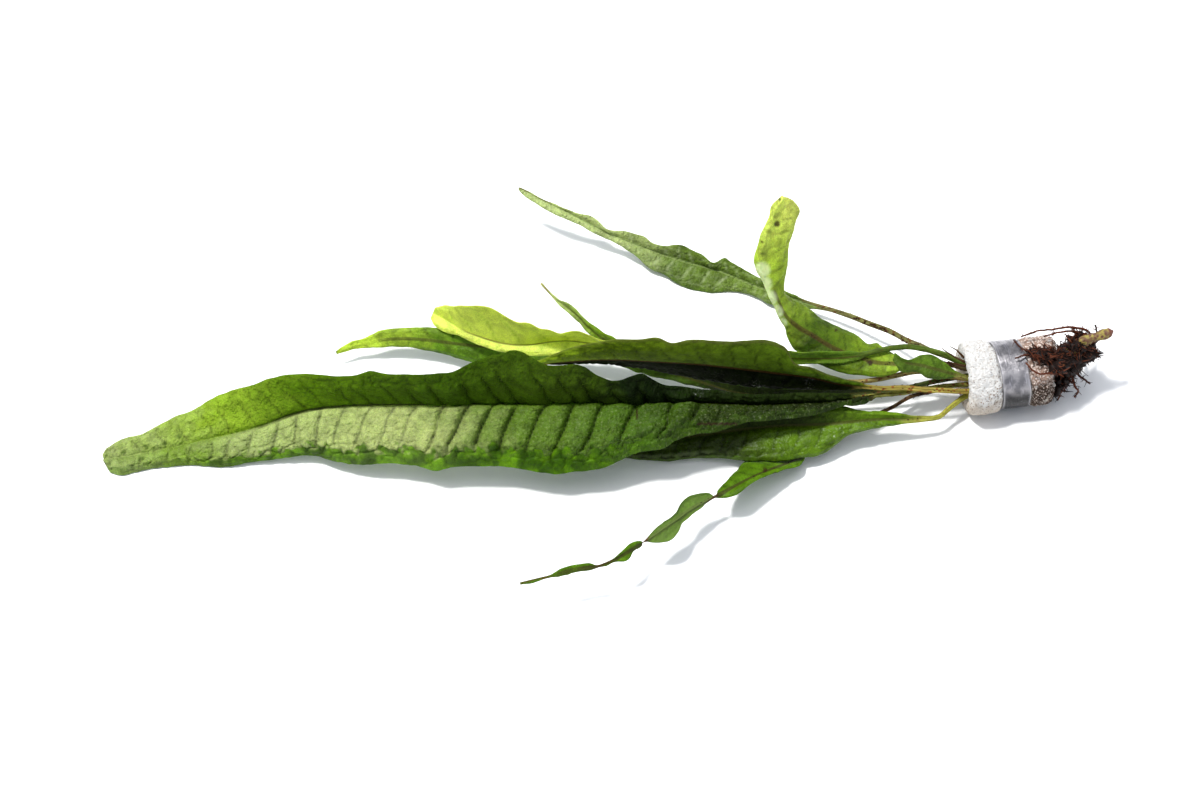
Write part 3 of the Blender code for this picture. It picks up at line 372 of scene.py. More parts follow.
def unit(vectors):
    return vectors / np.maximum(np.linalg.norm(vectors, axis=-1, keepdims=True), 1e-9)


def smooth(value, low, high):
    """0 below low, 1 above high, and a smooth step between."""
    t = np.clip((value - low) / (high - low), 0.0, 1.0)
    return t * t * (3 - 2 * t)


def wave_noise(x, y, seed):
    """Smooth noise from -1 to 1 over a plane, one unit from wave to wave."""
    table = np.random.default_rng(seed).uniform(-1.0, 1.0, (256, 256))
    column = np.floor(x).astype(int)
    row = np.floor(y).astype(int)
    s = smooth(x - column, 0.0, 1.0)
    t = smooth(y - row, 0.0, 1.0)
    left, right = column % 256, (column + 1) % 256
    low, high = row % 256, (row + 1) % 256
    near = table[left, low] * (1 - s) + table[right, low] * s
    far = table[left, high] * (1 - s) + table[right, high] * s
    return near * (1 - t) + far * t


def cell_walls(x, y, seed):
    """How far each point lies from the nearest wall of a net of cells about one unit wide."""
    table = np.random.default_rng(seed).uniform(0.12, 0.88, (64, 64, 2))
    column = np.floor(x).astype(int)
    row = np.floor(y).astype(int)
    nearest = np.full(x.shape, 9.0)
    second = np.full(x.shape, 9.0)
    for i in (-1, 0, 1):
        for j in (-1, 0, 1):
            middle = table[(column + i) % 64, (row + j) % 64]
            distance = np.hypot(column + i + middle[..., 0] - x, row + j + middle[..., 1] - y)
            second = np.minimum(second, np.maximum(nearest, distance))
            nearest = np.minimum(nearest, distance)
    return second - nearest


def frond_frame(rails, step):
    """Stations along a frond, its midrib and tangent there, the steps to both margins, and across."""
    across_mm, lift = rails["exit_mm"]
    inside = [in_collar(along, across_mm, lift) for along in STALK_STARTS]
    outside = [seen(*point) for point in rails["midrib"]]
    points = np.array(inside + outside)
    knots = lengths_along(points)
    length = knots[-1]
    fine = np.linspace(0.0, length, RAIL_SAMPLES)
    fine_midrib = through(knots, points, fine)
    stations = np.linspace(0.0, length, round(length / step) + 1)
    midrib = through(knots, points, stations)
    tangent = unit(np.gradient(midrib, stations, axis=0))
    margins = []
    for name in ("far", "near"):
        places, offsets = margin_offsets(rails[name], fine, fine_midrib)
        stalk = unit(offsets[0]) * rails["stalk_radius"]
        places = [0.0, places[0] - FADE_IN, *places[:-1], length]
        margins.append(through(places, [stalk, stalk, *offsets], stations))
    across = margins[0] - margins[1]
    across -= (across * tangent).sum(1)[:, None] * tangent
    for i in range(1, len(across)):
        if np.linalg.norm(across[i]) < 1.0:
            across[i] = across[i - 1]
    return stations, midrib, tangent, margins, unit(across)


def margin_offsets(rail, fine, fine_midrib):
    """The place along the midrib nearest to each margin point, and the step from there to it."""
    places = []
    offsets = []
    least = 0.0
    for point in rail:
        margin = seen(*point)
        distance = np.linalg.norm(fine_midrib - margin, axis=1)
        distance[fine <= least] = np.inf
        nearest = int(np.argmin(distance))
        least = fine[nearest]
        places.append(least)
        offsets.append(margin - fine_midrib[nearest])
    return places, offsets


def crown(share, lip):
    """How the blade bows between midrib and margin: 0 at both, 1 at its top, steeper at the margin with a lip."""
    even = 4 * share * (1 - share)
    lipped = 1.59 * share ** 0.8 * (1 - share ** 5)
    return even + (lipped - even) * lip


def vein_places(look, half, stations, midrib, seed):
    """Where the side veins of one half leave the midrib, in mm along it."""
    random = np.random.default_rng(seed)
    spacing = look["vein_spacing"]
    count = int(stations[-1] / spacing) + 2
    even = (np.arange(count) - 0.5 + random.uniform(-0.18, 0.18, count)) * spacing
    columns = look["near_vein_columns"] if half else ()
    if not columns:
        return even
    shown = pixels_of(midrib)[:, 0]
    read = np.interp(columns, shown[::-1], stations[::-1])
    before = even[even < read.min() - 0.6 * spacing]
    after = even[even > read.max() + 0.6 * spacing]
    return np.sort(np.concatenate([before, read, after]))


def quilting(look, along, reach, width, veins, seed):
    """Height of the blade's quilting and the mask of its side veins."""
    slant = look["vein_slant"]
    foot = along - slant * reach + 0.9 * wave_noise(along / 5, reach / 4, seed)
    index = np.clip(np.searchsorted(veins, foot), 1, len(veins) - 1)
    spacing = veins[index] - veins[index - 1]
    phase = np.clip((foot - veins[index - 1]) / spacing, 0.0, 1.0)
    to_vein = np.minimum(phase, 1 - phase) * spacing
    share = reach / np.maximum(width, 0.1)
    bent = phase ** look["lean"]
    pillow = 0.45 * (1 - np.exp(-((to_vein / 0.45) ** 1.2))) + 0.55 * np.sin(math.pi * bent)
    walls = cell_walls(along / 3.4 + 0.3 * wave_noise(along / 3, reach / 3, seed + 1), reach / 2.8, seed + 2)
    cells = np.minimum(walls / 0.3, 1.0) ** 0.7
    rise = 1 - np.exp(-((reach / 1.1) ** 2))
    inner = rise * (1 - smooth(share, 0.6, 0.88))
    outer = rise * smooth(share, 0.5, 0.75) * (1 - smooth(share, 0.88, 0.99))
    swell = 0.3 * wave_noise(along / 9, reach / 6, seed + 3)
    low, high, more = look["swollen"]
    strength = 0.8 + 0.35 * wave_noise(along / 14, reach * 0, seed + 4)
    strength = strength * (1 + more * smooth(along, low, low + 12) * (1 - smooth(along, high - 12, high)))
    height = inner * (pillow * strength + 0.3 * cells) + outer * 0.8 * cells + rise * swell
    coarse = 1 - 2 * np.abs(wave_noise(along / 2.6, reach / 1.9, seed + 5))
    pebbles = np.minimum(cell_walls(along / 1.5, reach / 1.4, seed + 6) / 0.35, 1.0)
    crinkle = 0.5 * coarse + 0.6 * pebbles
    crinkle = look["crinkle"] * crinkle * rise * (1 - 0.8 * smooth(share, 0.62, 0.8))
    vein = np.exp(-((to_vein / 0.38) ** 2)) * inner
    net = np.exp(-((walls / 0.12) ** 2)) * np.maximum(inner * 0.5, outer)
    return look["quilt"] * height + crinkle, vein, net


def half_blade(look, rails, half, frame_of, steps, seed):
    """Top and underside points of one half from the midrib to the margin, with its fields."""
    stations, midrib, tangent, margins, across = frame_of
    sign = (1.0, -1.0)[half]
    length = stations[-1]
    radius = rails["stalk_radius"] * (1 - (1 - TIP_RADIUS_SHARE) * stations / length)[:, None]
    offset = margins[half] + sign * MARGIN_STUB * across
    width = np.linalg.norm(offset, axis=1)[:, None]
    direction = offset / width
    ragged = wave_noise(stations / 2.6, stations * 0 + half, seed + 8)
    ragged = ragged + 0.6 * wave_noise(stations / 1.3, stations * 0 + half, seed + 9)
    width = width + look["ragged"] * (ragged[:, None] - 0.4) * np.clip(width / radius - 2.0, 0.0, 1.0)
    normal = unit(np.cross(sign * direction, tangent))
    upward = unit(np.cross(across, tangent))
    beyond = np.maximum(width - radius, 0.0)
    blade = np.clip(beyond / (2 * radius), 0.0, 1.0)

    t = np.linspace(0.0, 1.0, steps + 1)[None, :]
    spread = t - 0.45 * np.sin(t * math.tau) / math.tau
    reach = (1 - blade) * np.minimum(width, radius * 1.05) * np.sin(t * math.pi / 2) + blade * width * spread
    rib = radius * RIB_SHARE * np.exp(-((reach / (0.8 * radius)) ** 2))
    edge = np.sqrt(np.clip(1 - (1 - np.clip((width - reach) / MARGIN_ROUNDING, 0.0, 1.0)) ** 2, 0.0, 1.0))
    thin = BLADE_HALF * edge
    round_half = radius * np.cos(t * math.pi / 2)
    top_half = (1 - blade) * round_half + blade * (thin + look["ridge"] * np.exp(-((reach / 0.45) ** 2)))
    low_half = (1 - blade) * round_half + blade * (thin + rib * edge)

    along = np.broadcast_to(stations[:, None], reach.shape)
    share = reach / width
    bow = rails["belly"][half] * beyond * crown(share, look["lip"][half])
    veins = vein_places(look, half, stations, midrib, seed)
    height, vein, net = quilting(look, along, reach, width, veins, seed)
    ruffle = look["ruffle"] * wave_noise(along / 4.5, along * 0 + 3.3 * half, seed + 7) * smooth(share, 0.55, 1.0)
    lift = bow + blade * (height * look["quilt_side"][half] + ruffle)

    lean = smooth(reach, 0.0, 1.6 * radius)[..., None]
    facing = unit(upward[:, None, :] * (1 - lean) + normal[:, None, :] * lean)
    middle = midrib[:, None, :] + direction[:, None, :] * reach[..., None] + normal[:, None, :] * lift[..., None]
    top = middle + facing * top_half[..., None]
    low = middle - facing * low_half[..., None]
    fields = {
        "leaf": np.stack([along, sign * reach, np.zeros(reach.shape)], -1),
        "side": sign * share,
        "vein": vein * blade,
        "net": net * blade,
        "stalk": np.broadcast_to(1 - smooth(blade, 0.35, 1.0), reach.shape),
        "along": along / length,
    }
    return top, low, fields


def ring_order(steps):
    """The order of (half, step, underside) round one cross-section, far margin first and over the top."""
    far, near = steps
    order = [(0, step, 0) for step in range(far, 0, -1)]
    order += [(1, step, 0) for step in range(0, near + 1)]
    order += [(1, step, 1) for step in range(near - 1, 0, -1)]
    order += [(0, step, 1) for step in range(0, far)]
    return order


def frond_mesh(name, rails, look):
    """The fine mesh of one frond: a thin blade on a rib, quilted between its veins, with its scales."""
    seed = look["seed"]
    frame_of = frond_frame(rails, look["step"])
    steps = look["steps"]
    halves = [half_blade(look, rails, half, frame_of, steps[half], seed + 20 * half) for half in (0, 1)]
    joint_top = (halves[0][0][:, 0] + halves[1][0][:, 0]) / 2
    joint_low = (halves[0][1][:, 0] + halves[1][1][:, 0]) / 2
    for half in (0, 1):
        halves[half][0][:, 0] = joint_top
        halves[half][1][:, 0] = joint_low
        edge = (halves[half][0][:, -1] + halves[half][1][:, -1]) / 2
        halves[half][0][:, -1] = edge
    order = ring_order(steps)
    rings = np.stack([halves[half][under][:, step] for half, step, under in order], 1)
    fields = {}
    for key in halves[0][2]:
        fields[key] = np.stack([halves[half][2][key][:, step] for half, step, _ in order], 1)
    under = np.array([float(low and step < steps[half]) for half, step, low in order])
    fields["under"] = np.broadcast_to(under, rings.shape[:2])
    fields["leaf"][..., 2] = UNDERSIDE_SHIFT * under
    pixels = pixels_of(rings)
    for key, places in look["marks"].items():
        fields[key] = marks_at(pixels, places) * (1 - fields["under"])
    if "pit" in fields:
        rings[..., 2] -= PIT_DEPTH * fields["pit"]
    fields["scale"] = np.zeros(rings.shape[:2])
    points, faces, flat = rings_to_mesh(rings, fields)
    shells = scales_on(frame_of, rails, look) + bristles_on(look)
    points, faces, flat = with_shells(points, faces, flat, shells)
    return add_piece(name, points, faces, flat)


def scales_on(frame_of, rails, look):
    """Small pointed scales along the stalk, as (points, faces) in mm."""
    stations, midrib, tangent, _, across = frame_of
    random = np.random.default_rng(look["seed"] + 90)
    shells = []
    for count, start, end, size in look["scales"]:
        for place in random.uniform(start, end, count):
            i = min(int(np.searchsorted(stations, place)), len(stations) - 1)
            radius = rails["stalk_radius"] * (1 - (1 - TIP_RADIUS_SHARE) * stations[i] / stations[-1])
            angle = random.uniform(0.0, math.tau)
            up = np.cross(across[i], tangent[i])
            outward = math.cos(angle) * across[i] + math.sin(angle) * up
            middle = midrib[i] + outward * radius * 0.95
            grow = size * random.uniform(0.6, 1.3)
            lean = unit(tangent[i] * random.choice((-1.0, 1.0)) + outward * random.uniform(0.1, 0.7))
            sideways = unit(np.cross(outward, lean))
            corners = np.array([
                middle - lean * grow, middle + lean * grow,
                middle - sideways * 0.45 * grow, middle + sideways * 0.45 * grow,
                middle - outward * 0.3 * grow, middle + outward * 0.3 * grow,
            ])
            shells.append((corners, SCALE_FACES))
    return shells


SCALE_FACES = [
    [0, 2, 5], [2, 1, 5], [1, 3, 5], [3, 0, 5], [2, 0, 4], [1, 2, 4], [3, 1, 4], [0, 3, 4],
]
PIT_DEPTH = 0.3


def bristles_on(look):
    """Stiff dark fibres, as (points, faces) in mm."""
    shells = []
    for bristle in look["bristles"]:
        knots = np.array([seen(*point) for point in bristle])
        at = lengths_along(knots)
        line = through(at, knots, np.linspace(0.0, at[-1], 10))
        line = line + 0.12 * np.stack([solid_noise(line, 0.9, 82 + axis) for axis in range(3)], 1)
        rings = rod_rings(line, np.linspace(0.42, 0.14, 10), 6)
        shells.append((rings.reshape(-1, 3), rod_faces(10, 6)))
    return shells


def with_shells(points, faces, flat, shells):
    """The mesh with small separate shells added, marked in the field of scales."""
    start = len(points)
    parts = [points]
    for corners, corner_faces in shells:
        faces.extend([[start + int(i) for i in face] for face in corner_faces])
        parts.append(corners)
        start += len(corners)
    extra = start - len(points)
    for key, values in flat.items():
        filler = np.full((extra, *values.shape[1:]), float(key == "scale"))
        flat[key] = np.concatenate([values, filler])
    return np.concatenate(parts), faces, flat


def pixels_of(points):
    """The column and row at which each point shows in the photograph's view."""
    from_eye = points - EYE
    depth = from_eye @ FORWARD
    column = IMAGE_PX[0] / 2 + FOCAL_PX * (from_eye @ RIGHT) / depth
    row = IMAGE_PX[1] / 2 - FOCAL_PX * (from_eye @ UP) / depth
    return np.stack([column, row], -1)


def marks_at(pixels, places):
    """A mask of soft round marks, each as column, row and radius in pixels."""
    mask = np.zeros(pixels.shape[:-1])
    for column, row, radius in places:
        distance = np.hypot(pixels[..., 0] - column, pixels[..., 1] - row)
        mask = np.maximum(mask, 1 - smooth(distance, 0.6 * radius, 1.3 * radius))
    return mask


def rings_to_mesh(rings, fields):
    """Points, faces and per-point fields of a closed skin through rings, with laddered ends."""
    count, around = rings.shape[:2]
    index = np.arange(count * around).reshape(count, around)
    turned = np.roll(index, -1, axis=1)
    faces = np.stack([index[:-1], index[1:], turned[1:], turned[:-1]], -1).reshape(-1, 4).tolist()
    for row, flip in ((0, False), (count - 1, True)):
        ring = index[row]
        for j in range(around // 2):
            corners = (ring[j], ring[j + 1], ring[-j - 1], ring[-j])
            face = list(dict.fromkeys(int(corner) for corner in corners))
            faces.append(face[::-1] if flip else face)
    flat = {key: values.reshape(count * around, *values.shape[2:]) for key, values in fields.items()}
    return rings.reshape(-1, 3), faces, flat


def add_piece(name, points, faces, fields, smooth_shading=True):
    """A new object of the plant, made of points in mm, with its fields as attributes."""
    mesh = bpy.data.meshes.new(name)
    mesh.from_pydata((np.asarray(points) * MM).tolist(), [], faces)
    for key, values in fields.items():
        values = np.ascontiguousarray(values, dtype=np.float32)
        if values.ndim == 2:
            mesh.attributes.new(key, "FLOAT_VECTOR", "POINT").data.foreach_set("vector", values.ravel())
        else:
            mesh.attributes.new(key, "FLOAT", "POINT").data.foreach_set("value", values)
    mesh.update()
    if smooth_shading:
        mesh.shade_smooth()
    made = bpy.data.objects.new(name, mesh)
    bpy.context.scene.collection.objects.link(made)
    return made


def solid_noise(points, size, seed):
    """Smooth noise from -1 to 1 through space, `size` mm from wave to wave."""
    table = np.random.default_rng(seed).uniform(-1.0, 1.0, (32, 32, 32))
    cell = np.floor(points / size).astype(int)
    t = smooth(points / size - cell, 0.0, 1.0)
    total = 0.0
    for i in (0, 1):
        for j in (0, 1):
            for k in (0, 1):
                share = (t[..., 0] if i else 1 - t[..., 0]) * (t[..., 1] if j else 1 - t[..., 1])
                share = share * (t[..., 2] if k else 1 - t[..., 2])
                corner = table[(cell[..., 0] + i) % 32, (cell[..., 1] + j) % 32, (cell[..., 2] + k) % 32]
                total = total + share * corner
    return total


def sampled(outline, step):
    """Points every `step` mm along straight runs between the outline's points."""
    outline = np.asarray(outline, float)
    at = lengths_along(outline)
    places = np.linspace(0.0, at[-1], round(at[-1] / step) + 1)
    return np.stack([np.interp(places, at, outline[:, axis]) for axis in range(outline.shape[1])], 1)


def on_collar(radius, along, angle):
    """A point turned about the collar's axis, leaning the same way as the wound strip."""
    across = radius * np.cos(angle)
    lift = radius * np.sin(angle)
    lean = along - COLLAR_SKEW * (UP[1] * across + UP[2] * lift)
    return (COLLAR_MIDDLE + ALONG * lean[..., None] + ACROSS * across[..., None]
            + np.array((0.0, 0.0, 1.0)) * lift[..., None])


# The foam's outline as (radius, along): left face with its hollow round the stalks, left bulge, waist
# under the lead, right bulge, right face.
FOAM_OUTLINE = (
    (0.0, -10.9), (4.6, -11.4), (6.2, -12.3), (7.6, -13.1), (9.5, -13.1), (10.35, -12.6), (10.75, -11.5),
    (10.85, -9.4), (10.75, -7.5), (10.4, -5.4), (10.0, -4.6), (9.0, -4.2), (8.8, 4.2), (9.6, 4.6),
    (9.95, 6.0), (9.8, 8.6), (9.3, 10.6), (8.2, 11.4), (7.0, 11.5), (5.0, 11.0), (0.0, 10.8),
)
FOAM_STEP = 0.25
FOAM_TURNS = 270
FOAM_LEFT_LEAN = 0.05
FOAM_TOP_REACH = 0.42
# Size in mm of each layer of lumps, from broad ones to grains, and its height.
FOAM_LUMPS = ((3.6, 0.24), (1.3, 0.18), (0.62, 0.22))
PORE_DEPTH = 0.4
PORE_SIZE = 0.55


def make_foam():
    outline = sampled(FOAM_OUTLINE, FOAM_STEP)
    angles = np.arange(FOAM_TURNS) / FOAM_TURNS * math.tau
    radius = outline[:, 0][:, None] + np.zeros(FOAM_TURNS)
    along = outline[:, 1][:, None] + np.zeros(FOAM_TURNS)
    rise = UP[1] * radius * np.cos(angles) + UP[2] * radius * np.sin(angles)
    along = along - FOAM_LEFT_LEAN * smooth(-along, 5.0, 12.0) * -rise
    along = along + FOAM_TOP_REACH * smooth(along, 4.5, 12.0) * np.maximum(rise, 0.0)
    points = on_collar(radius, along, angles[None, :])
    slope = unit(np.gradient(outline, axis=0))
    outward = on_collar(radius + slope[:, 1:], along - slope[:, :1], angles[None, :]) - points
    lumps = sum(high * solid_noise(points, size, 41 + i) for i, (size, high) in enumerate(FOAM_LUMPS))
    pores = smooth(solid_noise(points, PORE_SIZE, 45), 0.3, 0.8)
    soiled = smooth(outline[:, 1], 4.6, 7.0)[:, None]
    crumbs = 0.3 * soiled * solid_noise(points, 1.0, 46)
    fade = smooth(outline[:, 0], 0.0, 1.5)[:, None]
    height = (lumps + crumbs - PORE_DEPTH * pores * (0.3 + 0.7 * soiled)) * fade
    points = points + outward * height[..., None]
    points[..., 2] = np.maximum(points[..., 2], 0.0)
    count = len(outline)
    index = np.arange(count * FOAM_TURNS).reshape(count, FOAM_TURNS)
    turned = np.roll(index, -1, axis=1)
    faces = np.stack([index[:-1], turned[:-1], turned[1:], index[1:]], -1)[1:-1].reshape(-1, 4).tolist()
    flat = points.reshape(-1, 3)
    first, last = int(index[0, 0]), int(index[-1, 0])
    for j in range(FOAM_TURNS):
        k = (j + 1) % FOAM_TURNS
        faces.append([first, int(index[1, k]), int(index[1, j])])
        faces.append([last, int(index[-2, j]), int(index[-2, k])])
    flat, faces = without_unused(flat, faces)
    own = np.broadcast_to(outline[:, 1][:, None], pores.shape)
    fields = {"pore": pores, "own": own}
    fields = {key: without_unused_rows(index, FOAM_TURNS, values.ravel()) for key, values in fields.items()}
    made = add_piece("foam_collar_soft", flat, faces, fields)
    made.data.materials.append(foam_material())
    return made


def without_unused_rows(index, around, values):
    """Per-point values of a turned skin whose first and last ring are one point each."""
    keep = np.ones(index.size, bool)
    keep[index[0, 1:]] = False
    keep[index[-1, 1:]] = False
    return values[keep]


def without_unused(points, faces):
    """The points that faces use, in order, and the faces renumbered."""
    used = np.zeros(len(points), bool)
    for face in faces:
        used[face] = True
    number = np.cumsum(used) - 1
    return points[used], [[int(number[i]) for i in face] for face in faces]


LEAD_SWEEP = math.radians(354.0)
LEAD_TURNS = 260
LEAD_DENT = 0.16


def make_lead():
    half = LEAD_WIDTH / 2
    thick = LEAD_THICKNESS / 2
    middle = LEAD_RADIUS - thick
    corner = 0.32
    turn = np.linspace(0.0, math.pi / 2, 5)
    profile = []
    for side, up, start in ((1, 1, 0.0), (-1, 1, 1.0), (-1, -1, 2.0), (1, -1, 3.0)):
        angle = turn + start * math.pi / 2
        profile.extend(zip(side * (half - corner) + corner * np.cos(angle),
                           up * (thick - corner) + corner * np.sin(angle)))
        if side * up > 0:
            run = np.linspace(side * (half - corner), -side * (half - corner), 22)[1:-1]
            profile.extend((place, up * thick) for place in run)
    profile = np.array(profile)
    angles = np.linspace(0.0, LEAD_SWEEP, LEAD_TURNS)
    radius = middle + profile[:, 1][None, :] + np.zeros((LEAD_TURNS, 1))
    along = profile[:, 0][None, :] + np.zeros((LEAD_TURNS, 1))
    around = angles[:, None] + np.zeros(len(profile))
    points = on_collar(radius, along, around)
    outward = on_collar(radius + 1.0, along, around) - points
    dents = LEAD_DENT * solid_noise(points, 4.2, 51) + 0.05 * solid_noise(points, 1.4, 52)
    points = points + outward * np.minimum(dents - 0.05, 0.05)[..., None]
    points = points + ALONG * (0.22 * solid_noise(points * (1, 1, 1) * 0.6, 3.0, 53))[..., None]
    points[..., 2] = np.maximum(points[..., 2], 0.0)
    fields = {
        "strip": np.stack([around * LEAD_RADIUS, along, radius - middle], -1),
        "edge": np.broadcast_to(smooth(np.abs(profile[:, 0]), half - 0.5, half - 0.1), around.shape),
    }
    count, ring = points.shape[:2]
    index = np.arange(count * ring).reshape(count, ring)
    rolled = np.roll(index, -1, axis=1)
    faces = np.stack([index[:-1], rolled[:-1], rolled[1:], index[1:]], -1).reshape(-1, 4).tolist()
    faces.append([int(i) for i in index[0][::-1]])
    faces.append([int(i) for i in index[-1]])
    flat = {key: values.reshape(count * ring, *values.shape[2:]) for key, values in fields.items()}
    made = add_piece("lead_strip_bent", points.reshape(-1, 3), faces, flat)
    made.data.materials.append(lead_material())
    return made


RHIZOME_INSIDE = ((3.3, 0.3, 0.4, 2.1), (8.0, 0.3, 0.9, 2.1), (12.0, 0.2, 2.2, 2.0))
RHIZOME_OUTSIDE = (
    (1066, 357, 15.5, 1.9), (1078, 346, 19.0, 1.7), (1089, 339.5, 21.3, 1.45), (1100, 335.5, 22.4, 1.35),
    (1109, 332.5, 23.0, 1.4), (1113.5, 331.0, 23.2, 1.3),
)


def rod_rings(points, radii, sides):
    """Rings of points round a line, carried along it without twist."""
    tangent = unit(np.gradient(points, axis=0))
    seed_axis = np.array((0.0, 0.0, 1.0)) if abs(tangent[0, 2]) < 0.9 else np.array((0.0, 1.0, 0.0))
    side = unit(np.cross(tangent[0], seed_axis))
    angles = np.arange(sides) / sides * math.tau
    rings = []
    for i in range(len(points)):
        side = unit(side - tangent[i] * (side @ tangent[i]))
        up = np.cross(tangent[i], side)
        rings.append(points[i] + radii[i] * (np.outer(np.cos(angles), side) + np.outer(np.sin(angles), up)))
    return np.array(rings)


def rod_faces(count, sides, start=0):
    """Faces of a rod of so many rings, with flat ends."""
    index = start + np.arange(count * sides).reshape(count, sides)
    rolled = np.roll(index, -1, axis=1)
    faces = np.stack([index[:-1], rolled[:-1], rolled[1:], index[1:]], -1).reshape(-1, 4).tolist()
    faces.append([int(i) for i in index[0][::-1]])
    faces.append([int(i) for i in index[-1]])
    return faces


def make_rhizome():
    inside = [in_collar(a, c, h) for a, c, h, _ in RHIZOME_INSIDE]
    outside = [seen(*row[:3]) for row in RHIZOME_OUTSIDE]
    knots = lengths_along(np.array(inside + outside))
    radii = [row[3] for row in RHIZOME_INSIDE + RHIZOME_OUTSIDE]
    values = np.column_stack([np.array(inside + outside), radii])
    at = np.linspace(0.0, knots[-1], 110)
    line = through(knots, values, at)
    radius = line[:, 3] * np.sqrt(np.clip((at[-1] - at) / 1.1, 0.03, 1.0))
    rings = rod_rings(line[:, :3], radius, 40)
    outward = unit(rings - line[:, None, :3])
    bumps = 0.46 * solid_noise(rings, 1.8, 61) + 0.14 * solid_noise(rings, 0.7, 62)
    rings = rings + outward * (bumps * np.clip(radius, 0.0, 1.0)[:, None])[..., None]
    place = np.broadcast_to((at / at[-1])[:, None], rings.shape[:2])
    made = add_piece("rhizome_stub", rings.reshape(-1, 3), rod_faces(len(rings), 40), {"along": place.ravel()})
    made.data.materials.append(rhizome_material())
    return made


# Root strands from the mass to their tips, as (column, row, height in mm).
ROOT_STRANDS = (
    ((1077, 360, 10.0), (1085, 344, 14.5), (1090, 334, 18.0), (1082, 328.5, 21.0), (1067, 327, 22.6),
     (1054, 329, 22.6), (1037, 331.5, 21.8), (1020, 337, 20.8)),
    ((1072, 362, 11.0), (1078, 346, 15.0), (1082, 335, 18.4), (1072, 331, 20.8), (1059, 332.5, 21.6),
     (1044, 336.5, 21.2)),
    ((1070, 366, 13.0), (1064, 360, 18.0), (1050, 351, 21.0), (1037, 350, 21.0), (1026, 350.5, 21.2),
     (1018, 345.5, 21.2), (1014, 339.5, 20.8)),
    ((1070, 368, 12.0), (1062, 362, 17.8), (1046, 355, 20.8), (1033, 353.5, 20.9), (1024, 355.5, 21.1),
     (1015, 358.5, 21.1)),
    ((1072, 372, 11.0), (1062, 372, 16.0), (1051, 373, 18.6), (1041, 374, 19.6), (1032, 369.5, 20.2),
     (1025, 362.5, 21.0)),
    ((1080, 360, 11.0), (1090, 348, 15.0), (1097, 336, 20.0), (1096, 324.5, 23.6)),
    ((1076, 366, 12.0), (1086, 356, 15.0), (1093, 353, 16.2), (1099, 350, 17.0)),
    ((1072, 372, 10.0), (1066, 384, 6.5), (1060, 393, 3.6), (1057.5, 400, 1.6)),
    ((1072, 370, 9.0), (1075, 386, 6.0), (1078, 392, 4.6), (1075, 397.5, 3.2)),
    ((1074, 368, 10.0), (1083, 379, 8.0), (1090, 383.5, 7.0)),
    ((1076, 362, 10.0), (1078, 344, 7.0), (1070, 336, 4.6)),
    ((1076, 362, 11.0), (1090, 347, 8.0), (1099, 340, 5.0)),
)
# The root mass as lumps, each a middle as (column, row, height in mm), half sizes in mm and its spikes.
ROOT_LUMPS = (
    ((1069.5, 360, 13.2), (4.5, 4.7, 5.6), 260),
    ((1085, 352.0, 15.0), (3.5, 3.1, 3.1), 170),
    ((1079, 337.5, 17.4), (1.5, 1.5, 2.0), 80),
    ((1077, 346.0, 19.2), (3.0, 1.8, 2.0), 120),
    ((1056, 386.5, 5.8), (1.9, 2.7, 3.6), 80),
    ((1064, 380, 6.8), (1.7, 2.2, 3.0), 50),
    ((1043, 354, 20.7), (4.0, 2.0, 0.7), 170),
    ((1057, 362, 18.2), (3.4, 3.6, 1.9), 140),
)
ROOT_SIDES = 5
ROOT_STEPS = 7
SPIKE_LENGTHS = (1.2, 4.0)
SPIKE_RADII = (0.14, 0.36)


def wandering(random, start, heading, length, curl):
    """A crooked line of points from a start, turning a little at each step."""
    points = [start]
    direction = unit(heading)
    for _ in range(ROOT_STEPS - 1):
        direction = unit(direction + curl * random.normal(0.0, 1.0, 3))
        points.append(points[-1] + direction * length / (ROOT_STEPS - 1))
    return np.array(points)


def lump_rings(middle, sizes, count=22, sides=30):
    """Rings of points over a lumpy ball."""
    polar = np.linspace(math.pi - 0.05, 0.05, count)[:, None]
    turn = np.arange(sides)[None, :] / sides * math.tau
    ball = np.stack([np.sin(polar) * np.cos(turn), np.sin(polar) * np.sin(turn), np.cos(polar) + turn * 0], -1)
    place = middle + ball * sizes
    swell = 1 + 0.16 * solid_noise(place, 1.9, 75) + 0.24 * solid_noise(place, 0.9, 76)
    return middle + ball * sizes * swell[..., None]


def root_rods(random):
    """Every root as a line of points and its radii: strands with side roots, and spikes on the lumps."""
    rods = []
    for strand in ROOT_STRANDS:
        knots = np.array([seen(*point) for point in strand])
        at = lengths_along(knots)
        line = through(at, knots, np.linspace(0.0, at[-1], 4 * len(strand)))
        line = line + 0.25 * np.stack([solid_noise(line, 1.3, 72 + axis) for axis in range(3)], 1)
        rods.append((line, np.linspace(0.5, 0.24, len(line))))
        for _ in range(5 * len(strand)):
            place = random.integers(1, len(line) - 1)
            heading = 0.8 * unit(line[place] - line[place - 1]) + random.normal(0.0, 0.8, 3)
            branch = wandering(random, line[place], heading, random.uniform(0.6, 2.2), 0.2)
            rods.append((branch, np.linspace(0.14, 0.04, len(branch))))
    for middle, sizes, spikes in ROOT_LUMPS:
        sizes = np.array(sizes)
        for _ in range(spikes):
            spot = unit(random.normal(0.0, 1.0, 3))
            start = seen(*middle) + spot * sizes * 0.9
            heading = unit(spot / sizes) * random.uniform(0.0, 0.45) + random.normal(0.0, 0.6, 3) * (1.3, 0.8, 0.6)
            line = wandering(random, start, heading, random.uniform(*SPIKE_LENGTHS), 0.2)
            rods.append((line, np.linspace(random.uniform(*SPIKE_RADII), 0.06, len(line))))
    return rods


